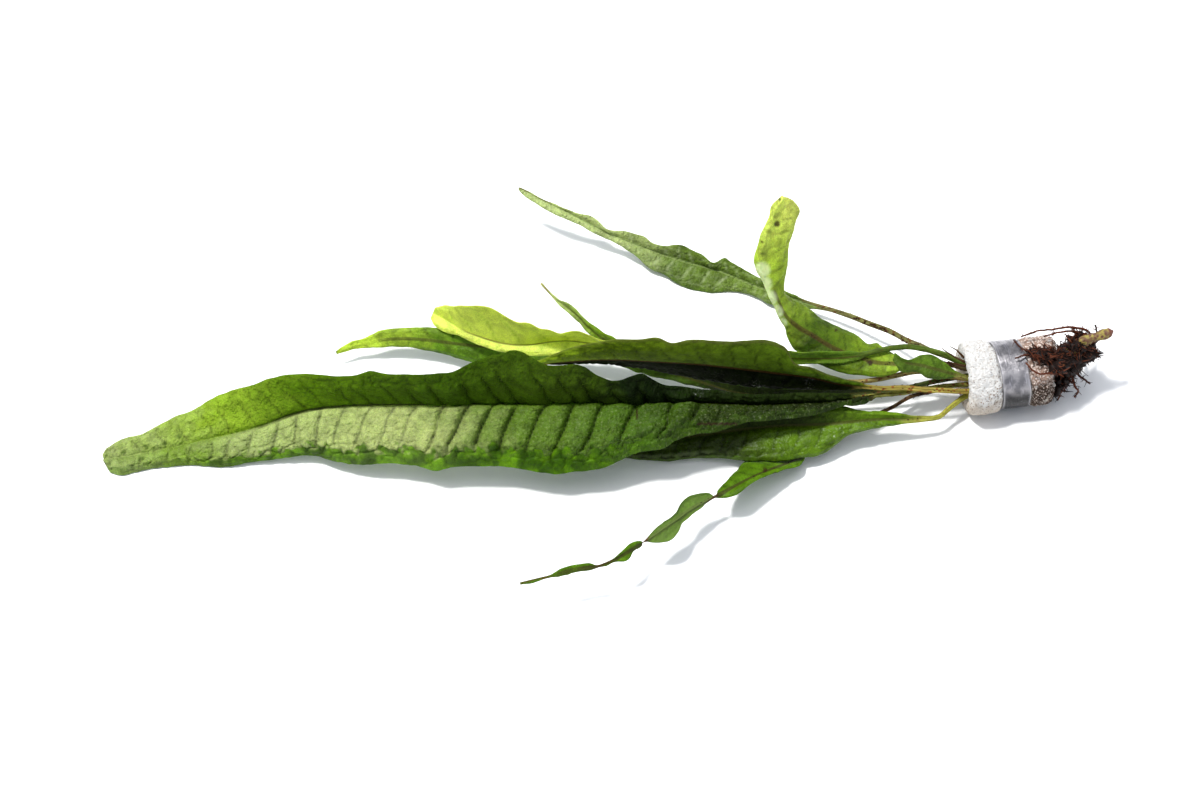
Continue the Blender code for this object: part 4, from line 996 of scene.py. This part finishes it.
def make_roots():
    random = np.random.default_rng(71)
    skins = [(rod_rings(np.maximum(line, (-1e3, -1e3, 0.25)), radii, ROOT_SIDES), random.uniform(0.0, 1.0))
             for line, radii in root_rods(random)]
    # The lumps all take tone 0, the darkest: painted shade of the tangle's deep inside.
    skins += [(lump_rings(seen(*middle), np.array(sizes)), 0.0) for middle, sizes, _ in ROOT_LUMPS]
    points = []
    faces = []
    tones = []
    total = 0
    for rings, tone in skins:
        faces.extend(rod_faces(*rings.shape[:2], total))
        points.append(rings.reshape(-1, 3))
        total += len(points[-1])
        tones.append(np.full(len(points[-1]), tone))
    made = add_piece("root_tangle", np.concatenate(points), faces, {"tone": np.concatenate(tones)})
    made.data.materials.append(root_material())
    return made


class Surface:
    """A material's node tree, with short ways to add the nodes that a natural surface needs."""

    def __init__(self, name):
        self.material = bpy.data.materials.new(name)
        self.material.use_nodes = True
        self.nodes = self.material.node_tree.nodes
        self.links = self.material.node_tree.links
        self.shader = self.nodes["Principled BSDF"]

    def add(self, kind, inputs, output=0, **settings):
        made = self.nodes.new(kind)
        for key, value in settings.items():
            setattr(made, key, value)
        for socket, value in inputs.items():
            if isinstance(value, bpy.types.NodeSocket):
                self.links.new(value, made.inputs[socket])
            elif value is not None:
                made.inputs[socket].default_value = value
        return made.outputs[output]

    def field(self, name):
        return self.add("ShaderNodeAttribute", {}, "Fac", attribute_name=name)

    def field_vector(self, name):
        return self.add("ShaderNodeAttribute", {}, "Vector", attribute_name=name)

    def object_mm(self):
        place = self.add("ShaderNodeTexCoord", {}, "Object")
        return self.add("ShaderNodeVectorMath", {0: place, "Scale": 1 / MM}, operation="SCALE")

    def noise(self, vector, scale, detail=3.0, distortion=0.0):
        inputs = {"Vector": vector, "Scale": scale, "Detail": detail, "Distortion": distortion}
        return self.add("ShaderNodeTexNoise", inputs, "Fac")

    def cells(self, vector, scale, feature="F1"):
        return self.add("ShaderNodeTexVoronoi", {"Vector": vector, "Scale": scale}, "Distance", feature=feature)

    def band(self, value, low, high, start=0.0, end=1.0):
        inputs = {"Value": value, "From Min": low, "From Max": high, "To Min": start, "To Max": end}
        return self.add("ShaderNodeMapRange", inputs, interpolation_type="SMOOTHSTEP")

    def math(self, operation, a, b=None):
        return self.add("ShaderNodeMath", {0: a, 1: b}, operation=operation)

    def shade(self, color, amount):
        return self.add("ShaderNodeVectorMath", {0: color, "Scale": amount}, operation="SCALE")

    def ramp(self, value, stops):
        made = self.nodes.new("ShaderNodeValToRGB")
        elements = made.color_ramp.elements
        elements.remove(elements[1])
        for i, (place, color) in enumerate(stops):
            element = elements.new(place) if i else elements[0]
            element.position = place
            element.color = (*color, 1.0)
        self.links.new(value, made.inputs["Fac"])
        return made.outputs["Color"]

    def mix(self, share, a, b):
        def color(value):
            return (*value, 1.0) if isinstance(value, tuple) else value
        return self.add("ShaderNodeMix", {0: share, 6: color(a), 7: color(b)}, 2, data_type="RGBA")

    def set(self, **values):
        for key, value in values.items():
            socket = self.shader.inputs[key.replace("_", " ").title().replace("Ior", "IOR")]
            if isinstance(value, bpy.types.NodeSocket):
                self.links.new(value, socket)
            else:
                socket.default_value = value

    def through(self, color, share):
        """Let that share of the light through the surface, tinted."""
        sheet = self.add("ShaderNodeBsdfTranslucent", {"Color": color})
        both = self.add("ShaderNodeMixShader", {0: share, 1: self.shader.outputs["BSDF"], 2: sheet})
        self.links.new(both, self.nodes["Material Output"].inputs["Surface"])

    def bump(self, height, distance_mm, strength=1.0):
        made = self.add("ShaderNodeBump", {"Height": height, "Distance": distance_mm * MM, "Strength": strength})
        self.links.new(made, self.shader.inputs["Normal"])
        self.links.new(made, self.shader.inputs["Coat Normal"])


SCALE_BROWN = (0.030, 0.012, 0.006)


def leaf_material(name, look):
    leaf = Surface(name)
    place = leaf.field_vector("leaf")
    side = leaf.field("side")
    from_midrib = leaf.math("ABSOLUTE", leaf.add("ShaderNodeSeparateXYZ", {0: place}, "Y"))
    wobble = leaf.noise(place, 0.16, 2.0)
    along = leaf.math("ADD", leaf.field("along"), leaf.band(wobble, 0.3, 0.7, -0.02, 0.02))
    near = leaf.ramp(along, look["near"])
    far = leaf.ramp(along, look["far"])
    color = leaf.mix(leaf.band(side, -0.04, 0.04), near, far)
    patches = leaf.band(leaf.noise(place, 0.33, 3.0, 0.4), 0.35, 0.68, 1.12, 1 - look["mottle"])
    flecks = leaf.noise(place, 1.3, 3.0)
    grain = leaf.band(leaf.noise(place, 3.0, 3.0), 0.3, 0.7, 0.82, 1.18)
    # Pale flecks, stronger on the near half; on the front frond they are whitish painted sheen.
    fleck = leaf.math("MULTIPLY", leaf.band(flecks, 0.52, 0.8, 0.0, look["fleck"]),
                      leaf.band(side, -0.05, 0.05, 1.0, look["fleck_far"]))
    color = leaf.mix(fleck, color, look["light"])
    # Painted shade: a darker, more saturated band along the near margin, where it curls down from the light, broken
    # by paler patches and faded towards the base and the tip.
    lip_edge = leaf.math("ADD", side, leaf.band(leaf.noise(place, 0.3, 1.0), 0.3, 0.7, -0.1, 0.1))
    lip = leaf.band(lip_edge, -look["lip_from"], -look["lip_from"] - 0.08, 0.0, look["lip_shade_share"])
    lip = leaf.math("MULTIPLY", lip, leaf.band(along, 0.38, 0.5, 0.15, 1.0))
    lip = leaf.math("MULTIPLY", lip, leaf.band(along, 0.86, 0.93, 1.0, 0.35))
    lip_shade_tone = leaf.mix(leaf.band(leaf.noise(place, 0.2, 2.0), 0.4, 0.62), look["lip_shade_color"], look["lip_shade_pale"])
    color = leaf.mix(lip, color, lip_shade_tone)
    color = leaf.shade(color, leaf.math("MULTIPLY", patches, grain))
    # Painted shade: the side veins and the cell net are darkened as the grooves along them.
    veins = leaf.math("MAXIMUM", leaf.field("vein"), leaf.math("MULTIPLY", leaf.field("net"), 0.5))
    vein_groove_shade = look["vein"] or leaf.shade(color, 0.35)
    color = leaf.mix(leaf.math("MULTIPLY", veins, look["vein_share"]), color, vein_groove_shade)
    color = leaf.mix(leaf.band(side, 0.88, 0.97, 0.0, look["edge_share"]), color, look["edge_color"])
    rib = leaf.band(from_midrib, look["rib_width"], 0.5 * look["rib_width"], 0.0, look["rib_share"])
    rib = leaf.math("MULTIPLY", rib, leaf.band(along, look["rib_to"] + 0.06, look["rib_to"]))
    color = leaf.mix(rib, color, look["rib"])
    color = leaf.mix(leaf.math("MULTIPLY", leaf.field("under"), 0.6), color, look["under"])
    color = leaf.mix(leaf.math("MULTIPLY", leaf.field("pale"), 0.85), color, look["pale_color"])
    # Painted shade: the pits are darker green.
    color = leaf.mix(leaf.math("MULTIPLY", leaf.field("pit"), 0.7), color, (0.05, 0.09, 0.01))
    color = leaf.mix(leaf.math("MULTIPLY", leaf.field("brown"), 0.9), color, SCALE_BROWN)

    long_place = leaf.add("ShaderNodeVectorMath", {0: place, 1: (0.25, 1.6, 1.0)}, operation="MULTIPLY")
    streaks = leaf.noise(long_place, 1.2, 3.0)
    stalk_color = leaf.mix(leaf.band(streaks, 0.4, 0.7), look["stalk"], look["stalk_dark"])
    dots = leaf.band(leaf.cells(place, 0.7), 0.36, 0.26, 0.0, look["stalk_dots"])
    stalk_color = leaf.mix(dots, stalk_color, look["dot"])
    color = leaf.mix(leaf.field("stalk"), color, stalk_color)
    color = leaf.mix(leaf.field("scale"), color, look["scale_color"])

    wrinkles = leaf.noise(place, 1.1, 4.0, 0.6)
    pebbles = leaf.band(leaf.cells(place, 1.0), 0.6, 0.1)
    relief = leaf.math("ADD", wrinkles, leaf.math("MULTIPLY", pebbles, 0.4))
    leaf.bump(leaf.math("MULTIPLY", relief, leaf.band(lip, 0.0, 0.6, 1.0, 0.3)), look["wrinkle"])
    rough = leaf.band(flecks, 0.3, 0.7, *look["roughness"])
    sheen = leaf.math("MULTIPLY", leaf.band(side, 0.0, -0.15), look["sheen"])
    sheen = leaf.math("MULTIPLY", sheen, leaf.band(lip, 0.0, 0.6, 1.0, 0.1))
    film = leaf.math("MAXIMUM", sheen, leaf.math("MULTIPLY", leaf.field("wet"), leaf.band(flecks, 0.5, 0.6)))
    leaf.set(base_color=color, roughness=rough, coat_weight=film, coat_roughness=0.28)
    leaf.set(specular_ior_level=look["gloss"], subsurface_weight=look["glow"], subsurface_scale=0.9 * MM)
    leaf.shader.inputs["Subsurface Radius"].default_value = (0.5, 1.0, 0.12)
    leaf.through(leaf.shade(color, look["tint"]), look["translucent"])
    return leaf.material


def foam_material():
    foam = Surface("foam")
    place = foam.object_mm()
    along = foam.field("own")
    low = foam.add("ShaderNodeSeparateXYZ", {0: place}, "Z")
    cloud = foam.noise(place, 0.35, 3.0)
    beige = foam.math("ADD", low, foam.band(cloud, 0.3, 0.7, -2.0, 2.0))
    color = foam.mix(foam.band(beige, 14.5, 7.5, 0.0, 0.8), (0.70, 0.69, 0.67), (0.54, 0.46, 0.37))
    stain = foam.band(foam.noise(place, 0.55, 3.0), 0.66, 0.74, 0.0, 0.4)
    color = foam.mix(stain, color, (0.40, 0.29, 0.19))
    shade = foam.math("ADD", foam.band(cloud, 0.35, 0.6, 0.1, 0.45), foam.band(along, -10.0, -4.0, 0.0, 0.35))
    shade = foam.math("ADD", shade, foam.band(low, 19.0, 11.0, 0.0, 0.5))
    dust = foam.math("MULTIPLY", foam.band(foam.cells(place, 1.25), 0.46, 0.26),
                     foam.band(foam.noise(place, 0.9, 3.0), 0.40, 0.56))
    color = foam.mix(foam.math("MULTIPLY", dust, shade), color, (0.20, 0.13, 0.08))
    specks = foam.band(foam.cells(place, 0.62), 0.13, 0.07)
    color = foam.mix(foam.math("MULTIPLY", specks, 0.85), color, (0.12, 0.05, 0.02))
    # Painted shade: the pores are darker.
    color = foam.mix(foam.math("MULTIPLY", foam.field("pore"), 0.3), color, (0.40, 0.33, 0.26))
    root_side = foam.band(along, 4.0, 4.6)
    grains = foam.cells(place, 1.9)
    crumbs = foam.mix(foam.band(grains, 0.28, 0.48), (0.50, 0.42, 0.37), (0.05, 0.03, 0.02))
    soil = foam.math("ADD", foam.noise(place, 0.6, 3.0), foam.band(low, 15.0, 19.5, 0.0, -0.1))
    crumbs = foam.mix(foam.band(soil, 0.58, 0.68, 0.0, 0.9), crumbs, (0.03, 0.018, 0.013))
    sugar = foam.mix(foam.band(foam.cells(place, 1.6), 0.3, 0.6), (0.74, 0.63, 0.57), (0.34, 0.23, 0.18))
    crumbs = foam.mix(foam.band(low, 14.0, 17.0, 0.0, 0.95), crumbs, sugar)
    bare = foam.band(foam.noise(place, 0.28, 2.0), 0.60, 0.72, 1.0, 0.35)
    color = foam.mix(foam.math("MULTIPLY", root_side, bare), color, crumbs)
    fine = foam.cells(place, 3.6)
    foam.bump(foam.math("ADD", fine, foam.noise(place, 3.0, 4.0)), 0.4)
    foam.set(base_color=color, roughness=0.95, specular_ior_level=0.15, subsurface_weight=0.2)
    foam.set(subsurface_scale=0.9 * MM)
    foam.shader.inputs["Subsurface Radius"].default_value = (1.0, 0.9, 0.8)
    return foam.material


def lead_material():
    lead = Surface("lead")
    strip = lead.field_vector("strip")
    streaked = lead.add("ShaderNodeVectorMath", {0: strip, 1: (0.25, 2.2, 1.0)}, operation="MULTIPLY")
    streaks = lead.noise(streaked, 0.9, 3.0, 0.3)
    clouds = lead.noise(strip, 0.4, 5.0)
    color = lead.mix(lead.band(clouds, 0.35, 0.65), (0.19, 0.185, 0.20), (0.40, 0.385, 0.40))
    color = lead.mix(lead.band(streaks, 0.55, 0.72, 0.0, 0.7), color, (0.55, 0.53, 0.58))
    # Painted shade: the strip is darker towards the bottom and along its top, where the metal shows dark
    # reflections.
    height = lead.add("ShaderNodeSeparateXYZ", {0: lead.object_mm()}, "Z")
    color = lead.shade(color, lead.band(height, 11.0, 16.5, 0.05, 1.0))
    color = lead.shade(color, lead.band(height, 18.4, 19.6, 1.0, 0.6))
    pocks = lead.band(lead.noise(strip, 1.7, 3.0), 0.62, 0.72, 0.0, 0.6)
    color = lead.mix(pocks, color, (0.10, 0.10, 0.12))
    color = lead.mix(lead.math("MULTIPLY", lead.field("edge"), 0.5), color, (0.58, 0.57, 0.60))
    scratched = lead.add("ShaderNodeVectorMath", {0: strip, 1: (0.12, 5.0, 1.0)}, operation="MULTIPLY")
    scratches = lead.noise(scratched, 1.6, 2.0, 0.2)
    lead.bump(lead.math("ADD", scratches, lead.math("MULTIPLY", clouds, 2.5)), 0.11)
    lead.set(base_color=color, metallic=0.75, roughness=lead.band(streaks, 0.35, 0.7, 0.44, 0.28))
    return lead.material


def rhizome_material():
    stub = Surface("rhizome")
    place = stub.object_mm()
    patches = stub.noise(place, 0.8, 4.0)
    color = stub.mix(stub.band(patches, 0.4, 0.6), (0.24, 0.19, 0.03), (0.11, 0.055, 0.016))
    scales = stub.band(stub.cells(place, 0.9), 0.46, 0.3)
    color = stub.mix(scales, color, (0.09, 0.03, 0.012))
    color = stub.mix(stub.band(stub.field("along"), 0.93, 0.97), color, (0.12, 0.03, 0.012))
    stub.bump(stub.noise(place, 2.6, 4.0), 0.25)
    stub.set(base_color=color, roughness=0.6)
    return stub.material


def root_material():
    root = Surface("roots")
    place = root.object_mm()
    tone = root.field("tone")
    # Tone 0, on the lumps, is near black: painted shade of the tangle's inside.
    color = root.mix(root.band(tone, 0.2, 1.0), (0.007, 0.0025, 0.0015), (0.09, 0.022, 0.008))
    color = root.mix(root.band(root.noise(place, 0.8, 2.0), 0.66, 0.74, 0.0, 0.5), color, (0.14, 0.045, 0.012))
    root.bump(root.noise(place, 3.0, 3.0), 0.08)
    root.set(base_color=color, roughness=0.55, specular_ior_level=0.15)
    return root.material


GREEN = {
    "seed": 11, "step": 0.7, "steps": (22, 22), "quilt": 0.42, "quilt_side": (0.6, 1.0), "lip": (0.0, 0.4),
    "ridge": 0.12, "ruffle": 0.25, "crinkle": 0.10, "near_vein_columns": (), "vein_spacing": 7.0,
    "vein_slant": 0.4, "marks": {}, "scales": (), "bristles": (),
    "ragged": 0.14, "swollen": (0.0, 1.0, 0.0), "sheen": 0.04, "tint": 1.5, "lean": 1.0, "pale_color": (0.78, 0.84, 0.52),
    "near": ((0.0, (0.08, 0.17, 0.008)),), "far": ((0.0, (0.08, 0.17, 0.008)),),
    "light": (0.20, 0.31, 0.05), "fleck_far": 0.5, "vein": None, "vein_share": 0.8,
    # The lip colours are painted shade along each frond's near margin.
    "lip_from": 0.86, "lip_shade_color": (0.05, 0.12, 0.004), "lip_shade_pale": (0.11, 0.22, 0.01), "lip_shade_share": 0.3,
    "edge_color": (0.10, 0.09, 0.03), "edge_share": 0.0,
    "rib": (0.06, 0.06, 0.012), "rib_width": 0.6, "rib_share": 0.7, "rib_to": 0.9,
    "under": (0.14, 0.21, 0.05), "mottle": 0.3, "fleck": 0.2,
    "stalk": (0.26, 0.25, 0.06), "stalk_dark": (0.12, 0.13, 0.03), "stalk_dots": 0.9,
    "dot": (0.14, 0.05, 0.015), "scale_color": SCALE_BROWN,
    "wrinkle": 0.25, "roughness": (0.45, 0.6), "gloss": 0.12, "glow": 0.06, "translucent": 0.2,
}
# Where the side veins of the front frond's near half leave its midrib, as columns of the photograph.
MAIN_VEIN_COLUMNS = (
    676, 638, 603, 575, 547, 520, 495, 470, 447, 418, 396, 372, 348, 324, 300, 277, 254, 233, 214,
)
# What differs from the usual green for each frond. Colours along a half are (share of the length, colour);
# marks are (column, row, radius in pixels); scales are (count, from mm, to mm, half length in mm).
LOOKS = {
    "frond_main": {
        "seed": 3, "step": 0.5, "steps": (26, 58), "quilt": 1.05, "quilt_side": (0.6, 1.0), "lip": (0.0, 1.0),
        "ridge": -0.3, "crinkle": 0.38, "lean": 0.72, "vein_slant": 0.42, "near_vein_columns": MAIN_VEIN_COLUMNS,
        "swollen": (88.0, 176.0, 2.1), "sheen": 0.18, "mottle": 0.2, "fleck": 0.24, "fleck_far": 0.1, "tint": 2.3,
        # Painted light in these stops: the near half is near black up to about 0.34 of the length, painted shade,
        # and whitish from 0.66 to 0.84 and at the tip, painted sheen; the far half is painted shade up to about
        # 0.62, darkest near 0.42, and whitish at its tip, painted sheen.
        "near": ((0.2, (0.015, 0.025, 0.003)), (0.34, (0.025, 0.047, 0.003)), (0.42, (0.060, 0.125, 0.008)),
                 (0.55, (0.105, 0.18, 0.018)), (0.66, (0.38, 0.43, 0.16)), (0.84, (0.32, 0.39, 0.13)),
                 (0.91, (0.19, 0.29, 0.035)), (1.0, (0.30, 0.38, 0.12))),
        "far": ((0.2, (0.015, 0.028, 0.002)), (0.42, (0.005, 0.013, 0.001)), (0.50, (0.05, 0.095, 0.003)),
                (0.62, (0.042, 0.09, 0.001)), (0.76, (0.085, 0.165, 0.002)), (0.87, (0.25, 0.37, 0.025)),
                (1.0, (0.34, 0.40, 0.15))),
        # The whitish fleck colour is painted sheen on the near half; the lip colours are painted shade along its
        # near margin.
        "light": (0.46, 0.52, 0.24), "lip_from": 0.70, "lip_shade_share": 0.9, "lip_shade_color": (0.028, 0.080, 0.0005),
        "lip_shade_pale": (0.11, 0.25, 0.002), "translucent": 0.33,
        # The near-black midrib colour is painted shade in the groove along the midrib.
        "rib_to": 0.8, "rib": (0.02, 0.025, 0.004), "rib_width": 0.7, "wrinkle": 0.7,
        "gloss": 0.06, "scales": ((30, 16, 46, 0.25),),
        "marks": {
            "brown": (*((x, 423.8 + 0.6 * math.sin(x), 1.3) for x in range(698, 737, 2)),
                      *((637 + 0.3 * math.sin(y), y, 1.1) for y in range(410, 419)),
                      (104, 464, 2.2), (105, 469, 1.8)),
            "pit": ((123.7, 452, 2.4), (146.5, 446.7, 2.6), (164.4, 443.5, 2.6), (179, 436.5, 2.4),
                    (142.3, 458.2, 2.2)),
            "wet": ((757, 417, 7.0), (787, 414, 6.0), (700, 393, 7.0)),
        },
    },
    "frond_long": {
        "seed": 5, "far": ((0.3, (0.06, 0.12, 0.004)), (0.6, (0.078, 0.135, 0.007)), (1.0, (0.22, 0.34, 0.015))),
        # The near half is near black: painted shade between the leaves.
        "near": ((0.3, (0.012, 0.018, 0.002)), (0.5, (0.003, 0.005, 0.001)), (1.0, (0.010, 0.018, 0.002))),
        "rib": (0.07, 0.03, 0.010), "stalk": (0.34, 0.28, 0.06), "stalk_dark": (0.21, 0.15, 0.035),
        "dot": (0.20, 0.06, 0.015), "scales": ((60, 16, 50, 0.36),), "edge_share": 0.45,
        "edge_color": (0.08, 0.06, 0.03), "quilt": 0.6, "vein_spacing": 8.0, "fleck": 0.02, "gloss": 0.02,
        "marks": {"wet": ((756, 385.5, 6.0), (810, 383, 6.0))},
    },
    "frond_lower": {
        # Both halves turn dark towards the tip end: painted shade where the front frond's shadow falls.
        "seed": 7, "near": ((0.5, (0.085, 0.165, 0.003)), (0.62, (0.03, 0.052, 0.002))),
        "far": ((0.35, (0.10, 0.19, 0.004)), (0.45, (0.025, 0.045, 0.002))),
        "stalk": (0.34, 0.33, 0.05), "stalk_dark": (0.20, 0.21, 0.03), "stalk_dots": 0.4,
        "scales": ((30, 16, 42, 0.42),), "quilt": 0.95, "sheen": 0.16, "fleck": 0.08, "marks": {"wet": ((836, 433, 8.0),)},
    },
    "frond_yellow": {
        # Its pale yellow-green is partly its own colour and partly painted light shining through the leaf.
        "seed": 9, "near": ((0.34, (0.13, 0.24, 0.02)), (0.5, (0.35, 0.5, 0.06)), (0.75, (0.66, 0.72, 0.15))),
        "far": ((0.34, (0.12, 0.22, 0.02)), (0.5, (0.44, 0.55, 0.10)), (0.75, (0.60, 0.66, 0.11))),
        "light": (0.64, 0.68, 0.20), "vein": (0.26, 0.38, 0.02), "vein_share": 0.6, "rib": (0.10, 0.08, 0.02), "rib_width": 0.45,
        "mottle": 0.15, "under": (0.40, 0.52, 0.08), "quilt": 0.28, "glow": 0.2, "translucent": 0.4,
        "stalk": (0.13, 0.20, 0.03), "stalk_dark": (0.08, 0.12, 0.02), "stalk_dots": 0.2,
    },
    "frond_under": {
        # Near black up to 0.44 of its length: painted shade where it lies between the front and long fronds.
        "seed": 13, "near": ((0.44, (0.015, 0.026, 0.002)), (0.54, (0.08, 0.16, 0.006)), (0.83, (0.09, 0.19, 0.008)),
                           (0.97, (0.43, 0.58, 0.045))),
        "far": ((0.44, (0.015, 0.026, 0.002)), (0.54, (0.08, 0.16, 0.006)), (0.83, (0.09, 0.19, 0.008)),
                (0.97, (0.43, 0.58, 0.045))),
        "quilt": 0.3, "stalk": (0.08, 0.11, 0.02), "stalk_dark": (0.04, 0.05, 0.01),
        "scales": ((60, 16, 36, 0.6), (30, 36, 60, 0.4)),
    },
    "frond_trailing": {
        "seed": 15, "step": 0.5, "steps": (14, 14), "near": ((0.0, (0.095, 0.20, 0.005)),),
        "far": ((0.0, (0.085, 0.18, 0.005)),), "quilt": 0.25, "stalk": (0.10, 0.055, 0.02),
        "stalk_dark": (0.04, 0.02, 0.01), "rib": (0.04, 0.02, 0.01), "rib_width": 0.8, "vein_spacing": 4.5,
        "scales": ((170, 16, 64, 0.6), (70, 64, 112, 0.36)), "translucent": 0.3,
        "marks": {"brown": ((765, 470, 2.5), (775, 474, 2.2), (551, 489, 1.8), (572, 488, 1.6), (590, 487, 1.6))},
    },
    "frond_upright": {
        "seed": 17, "step": 0.55,
        # The dark stops about 0.41 to 0.55 are painted shade on its lower blade; its pale tip is partly its own
        # colour and partly painted light shining through the leaf.
        "near": ((0.34, (0.26, 0.38, 0.03)), (0.41, (0.11, 0.18, 0.008)), (0.55, (0.03, 0.06, 0.003)),
                 (0.65, (0.28, 0.40, 0.035)), (0.8, (0.42, 0.55, 0.05)), (1.0, (0.60, 0.64, 0.14))),
        "far": ((0.34, (0.26, 0.38, 0.03)), (0.41, (0.15, 0.24, 0.012)), (0.55, (0.06, 0.11, 0.006)),
                (0.65, (0.28, 0.40, 0.035)), (0.8, (0.42, 0.55, 0.05)), (1.0, (0.60, 0.64, 0.14))),
        "fleck": 0.06,
        "rib": (0.06, 0.028, 0.010), "rib_to": 0.7, "rib_width": 0.8, "quilt": 0.45, "vein_spacing": 6.0,
        "glow": 0.25, "translucent": 0.3, "under": (0.42, 0.50, 0.20), "stalk": (0.10, 0.07, 0.025),
        "stalk_dark": (0.04, 0.02, 0.01), "scales": ((90, 16, 36, 0.6), (40, 36, 72, 0.36)),
        "marks": {"brown": ((777, 224, 3.2), (762, 242, 1.6), (780, 199, 1.6), (790, 262, 1.6), (812, 291, 1.8),
                            (824, 309, 1.6), (801, 277, 1.4), (836, 330, 1.6), (870, 363, 3.0)),
                  "pale": ((762, 270, 8.0), (764, 284, 8.0), (769, 298, 8.0), (776, 312, 7.0), (782, 323, 5.0))},
    },
    "frond_pointed": {
        "seed": 19, "steps": (16, 16), "quilt": 0.25, "stalk": (0.32, 0.26, 0.08), "stalk_dark": (0.18, 0.12, 0.04),
        "near": ((0.5, (0.09, 0.19, 0.01)), (0.85, (0.19, 0.31, 0.018)), (1.0, (0.5, 0.58, 0.22))),
        "far": ((0.5, (0.09, 0.19, 0.01)), (0.85, (0.19, 0.31, 0.018)), (1.0, (0.5, 0.58, 0.22))),
        "scales": ((40, 16, 60, 0.28),),
    },
    "frond_back": {
        "seed": 21, "steps": (18, 18), "crinkle": 0.22,
        "near": ((0.5, (0.13, 0.20, 0.025)), (0.67, (0.085, 0.14, 0.014)), (0.80, (0.40, 0.48, 0.18))),
        "far": ((0.5, (0.12, 0.19, 0.022)), (0.67, (0.08, 0.13, 0.012)), (0.80, (0.36, 0.43, 0.15))),
        "light": (0.40, 0.48, 0.20), "sheen": 0.12, "fleck": 0.1,
        "quilt": 0.4, "vein_spacing": 5.0, "stalk": (0.20, 0.19, 0.06), "stalk_dark": (0.10, 0.07, 0.03),
        "scales": ((90, 28, 53, 0.72), (60, 16, 66, 0.45)), "scale_color": (0.05, 0.022, 0.008),
        "rib": (0.26, 0.34, 0.12), "rib_share": 0.5, "vein": (0.5, 0.58, 0.32), "vein_share": 0.4,
        "wrinkle": 0.6,
        "bristles": (
            ((965, 362, 17.0), (955, 357, 17.5), (947, 352, 18.0), (942, 348.5, 18.5)),
            ((964, 358, 17.5), (956, 350, 19.0), (950, 346.5, 20.0)),
            ((966, 366, 16.5), (956, 364, 17.0), (948, 361, 17.6)),
        ),
    },
    "frond_young": {
        "seed": 23, "step": 0.4, "steps": (14, 14), "quilt": 0.2, "vein_spacing": 3.5,
        "near": ((0.0, (0.06, 0.11, 0.008)),), "far": ((0.0, (0.08, 0.15, 0.010)),),
        "scales": ((30, 14, 22, 0.25),),
    },
}


def make_fronds():
    for name, rails in FRONDS.items():
        look = {**GREEN, **LOOKS[name]}
        blade = frond_mesh(name + "_leaf", rails, look)
        blade.data.materials.append(leaf_material(name + "_leaf", look))
        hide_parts(name)
        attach(blade, "root")


def make_collar():
    foam = make_foam()
    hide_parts("foam_collar")
    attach(foam, "root")
    for piece, node, slot in ((make_lead(), "lead_strip", "lead"), (make_rhizome(), "rhizome", "rhizome"),
                              (make_roots(), "root_tuft", "roots")):
        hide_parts(node)
        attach(piece, "root")


FLOOR_HALF = 2.0
TO_LIGHT = (-0.362, 0.074, 0.929)
SUN_STRENGTH = 4.35
LAMP_PLACE = (-0.25, 0.15, 1.3)
LAMP_SIZE = 1.4
LAMP_WATTS = 9.0


def make_stage():
    mesh = bpy.data.meshes.new("floor")
    corners = [(-FLOOR_HALF, -FLOOR_HALF), (FLOOR_HALF, -FLOOR_HALF), (FLOOR_HALF, FLOOR_HALF),
               (-FLOOR_HALF, FLOOR_HALF)]
    mesh.from_pydata([(x, y, -0.00005) for x, y in corners], [], [(0, 1, 2, 3)])
    floor = bpy.data.objects.new("floor", mesh)
    bpy.context.scene.collection.objects.link(floor)
    paper = Surface("floor")
    paper.set(base_color=(0.90, 0.90, 0.90, 1.0), roughness=0.9, specular_ior_level=0.1)
    floor.data.materials.append(paper.material)


def add_light(name, kind, to_light):
    """A light that shines from that direction."""
    data = bpy.data.lights.new(name, kind)
    made = bpy.data.objects.new(name, data)
    bpy.context.scene.collection.objects.link(made)
    made.rotation_euler = Vector(to_light).to_track_quat("Z", "Y").to_euler()
    return made


def make_light():
    sun = add_light("key", "SUN", TO_LIGHT)
    sun.data.energy = SUN_STRENGTH
    sun.data.angle = math.radians(8.0)
    sun.data.color = (1.0, 0.99, 0.97)
    lamp = add_light("overhead", "AREA", LAMP_PLACE)
    lamp.location = LAMP_PLACE
    lamp.data.size = LAMP_SIZE
    lamp.data.energy = LAMP_WATTS
    lamp.data.color = (0.97, 0.98, 1.0)
    world = bpy.data.worlds.new("room")
    world.use_nodes = True
    background = world.node_tree.nodes["Background"]
    background.inputs["Color"].default_value = (0.84, 0.90, 1.0, 1.0)
    background.inputs["Strength"].default_value = 0.55
    bpy.context.scene.world = world


def make_camera():
    data = bpy.data.cameras.new("camera")
    data.sensor_width = SENSOR_WIDTH_MM
    data.lens = SENSOR_WIDTH_MM * FOCAL_PX / IMAGE_PX[0]
    data.clip_start = 0.05
    camera = bpy.data.objects.new("camera", data)
    bpy.context.scene.collection.objects.link(camera)
    camera.location = EYE * MM
    camera.rotation_euler = (math.pi / 2 - VIEW_ELEVATION, 0.0, 0.0)
    bpy.context.scene.camera = camera
    bpy.context.scene.view_settings.view_transform = "Standard"


make_camera()
make_light()
make_stage()
make_fronds()
make_collar()

bpy.context.view_layer.update()
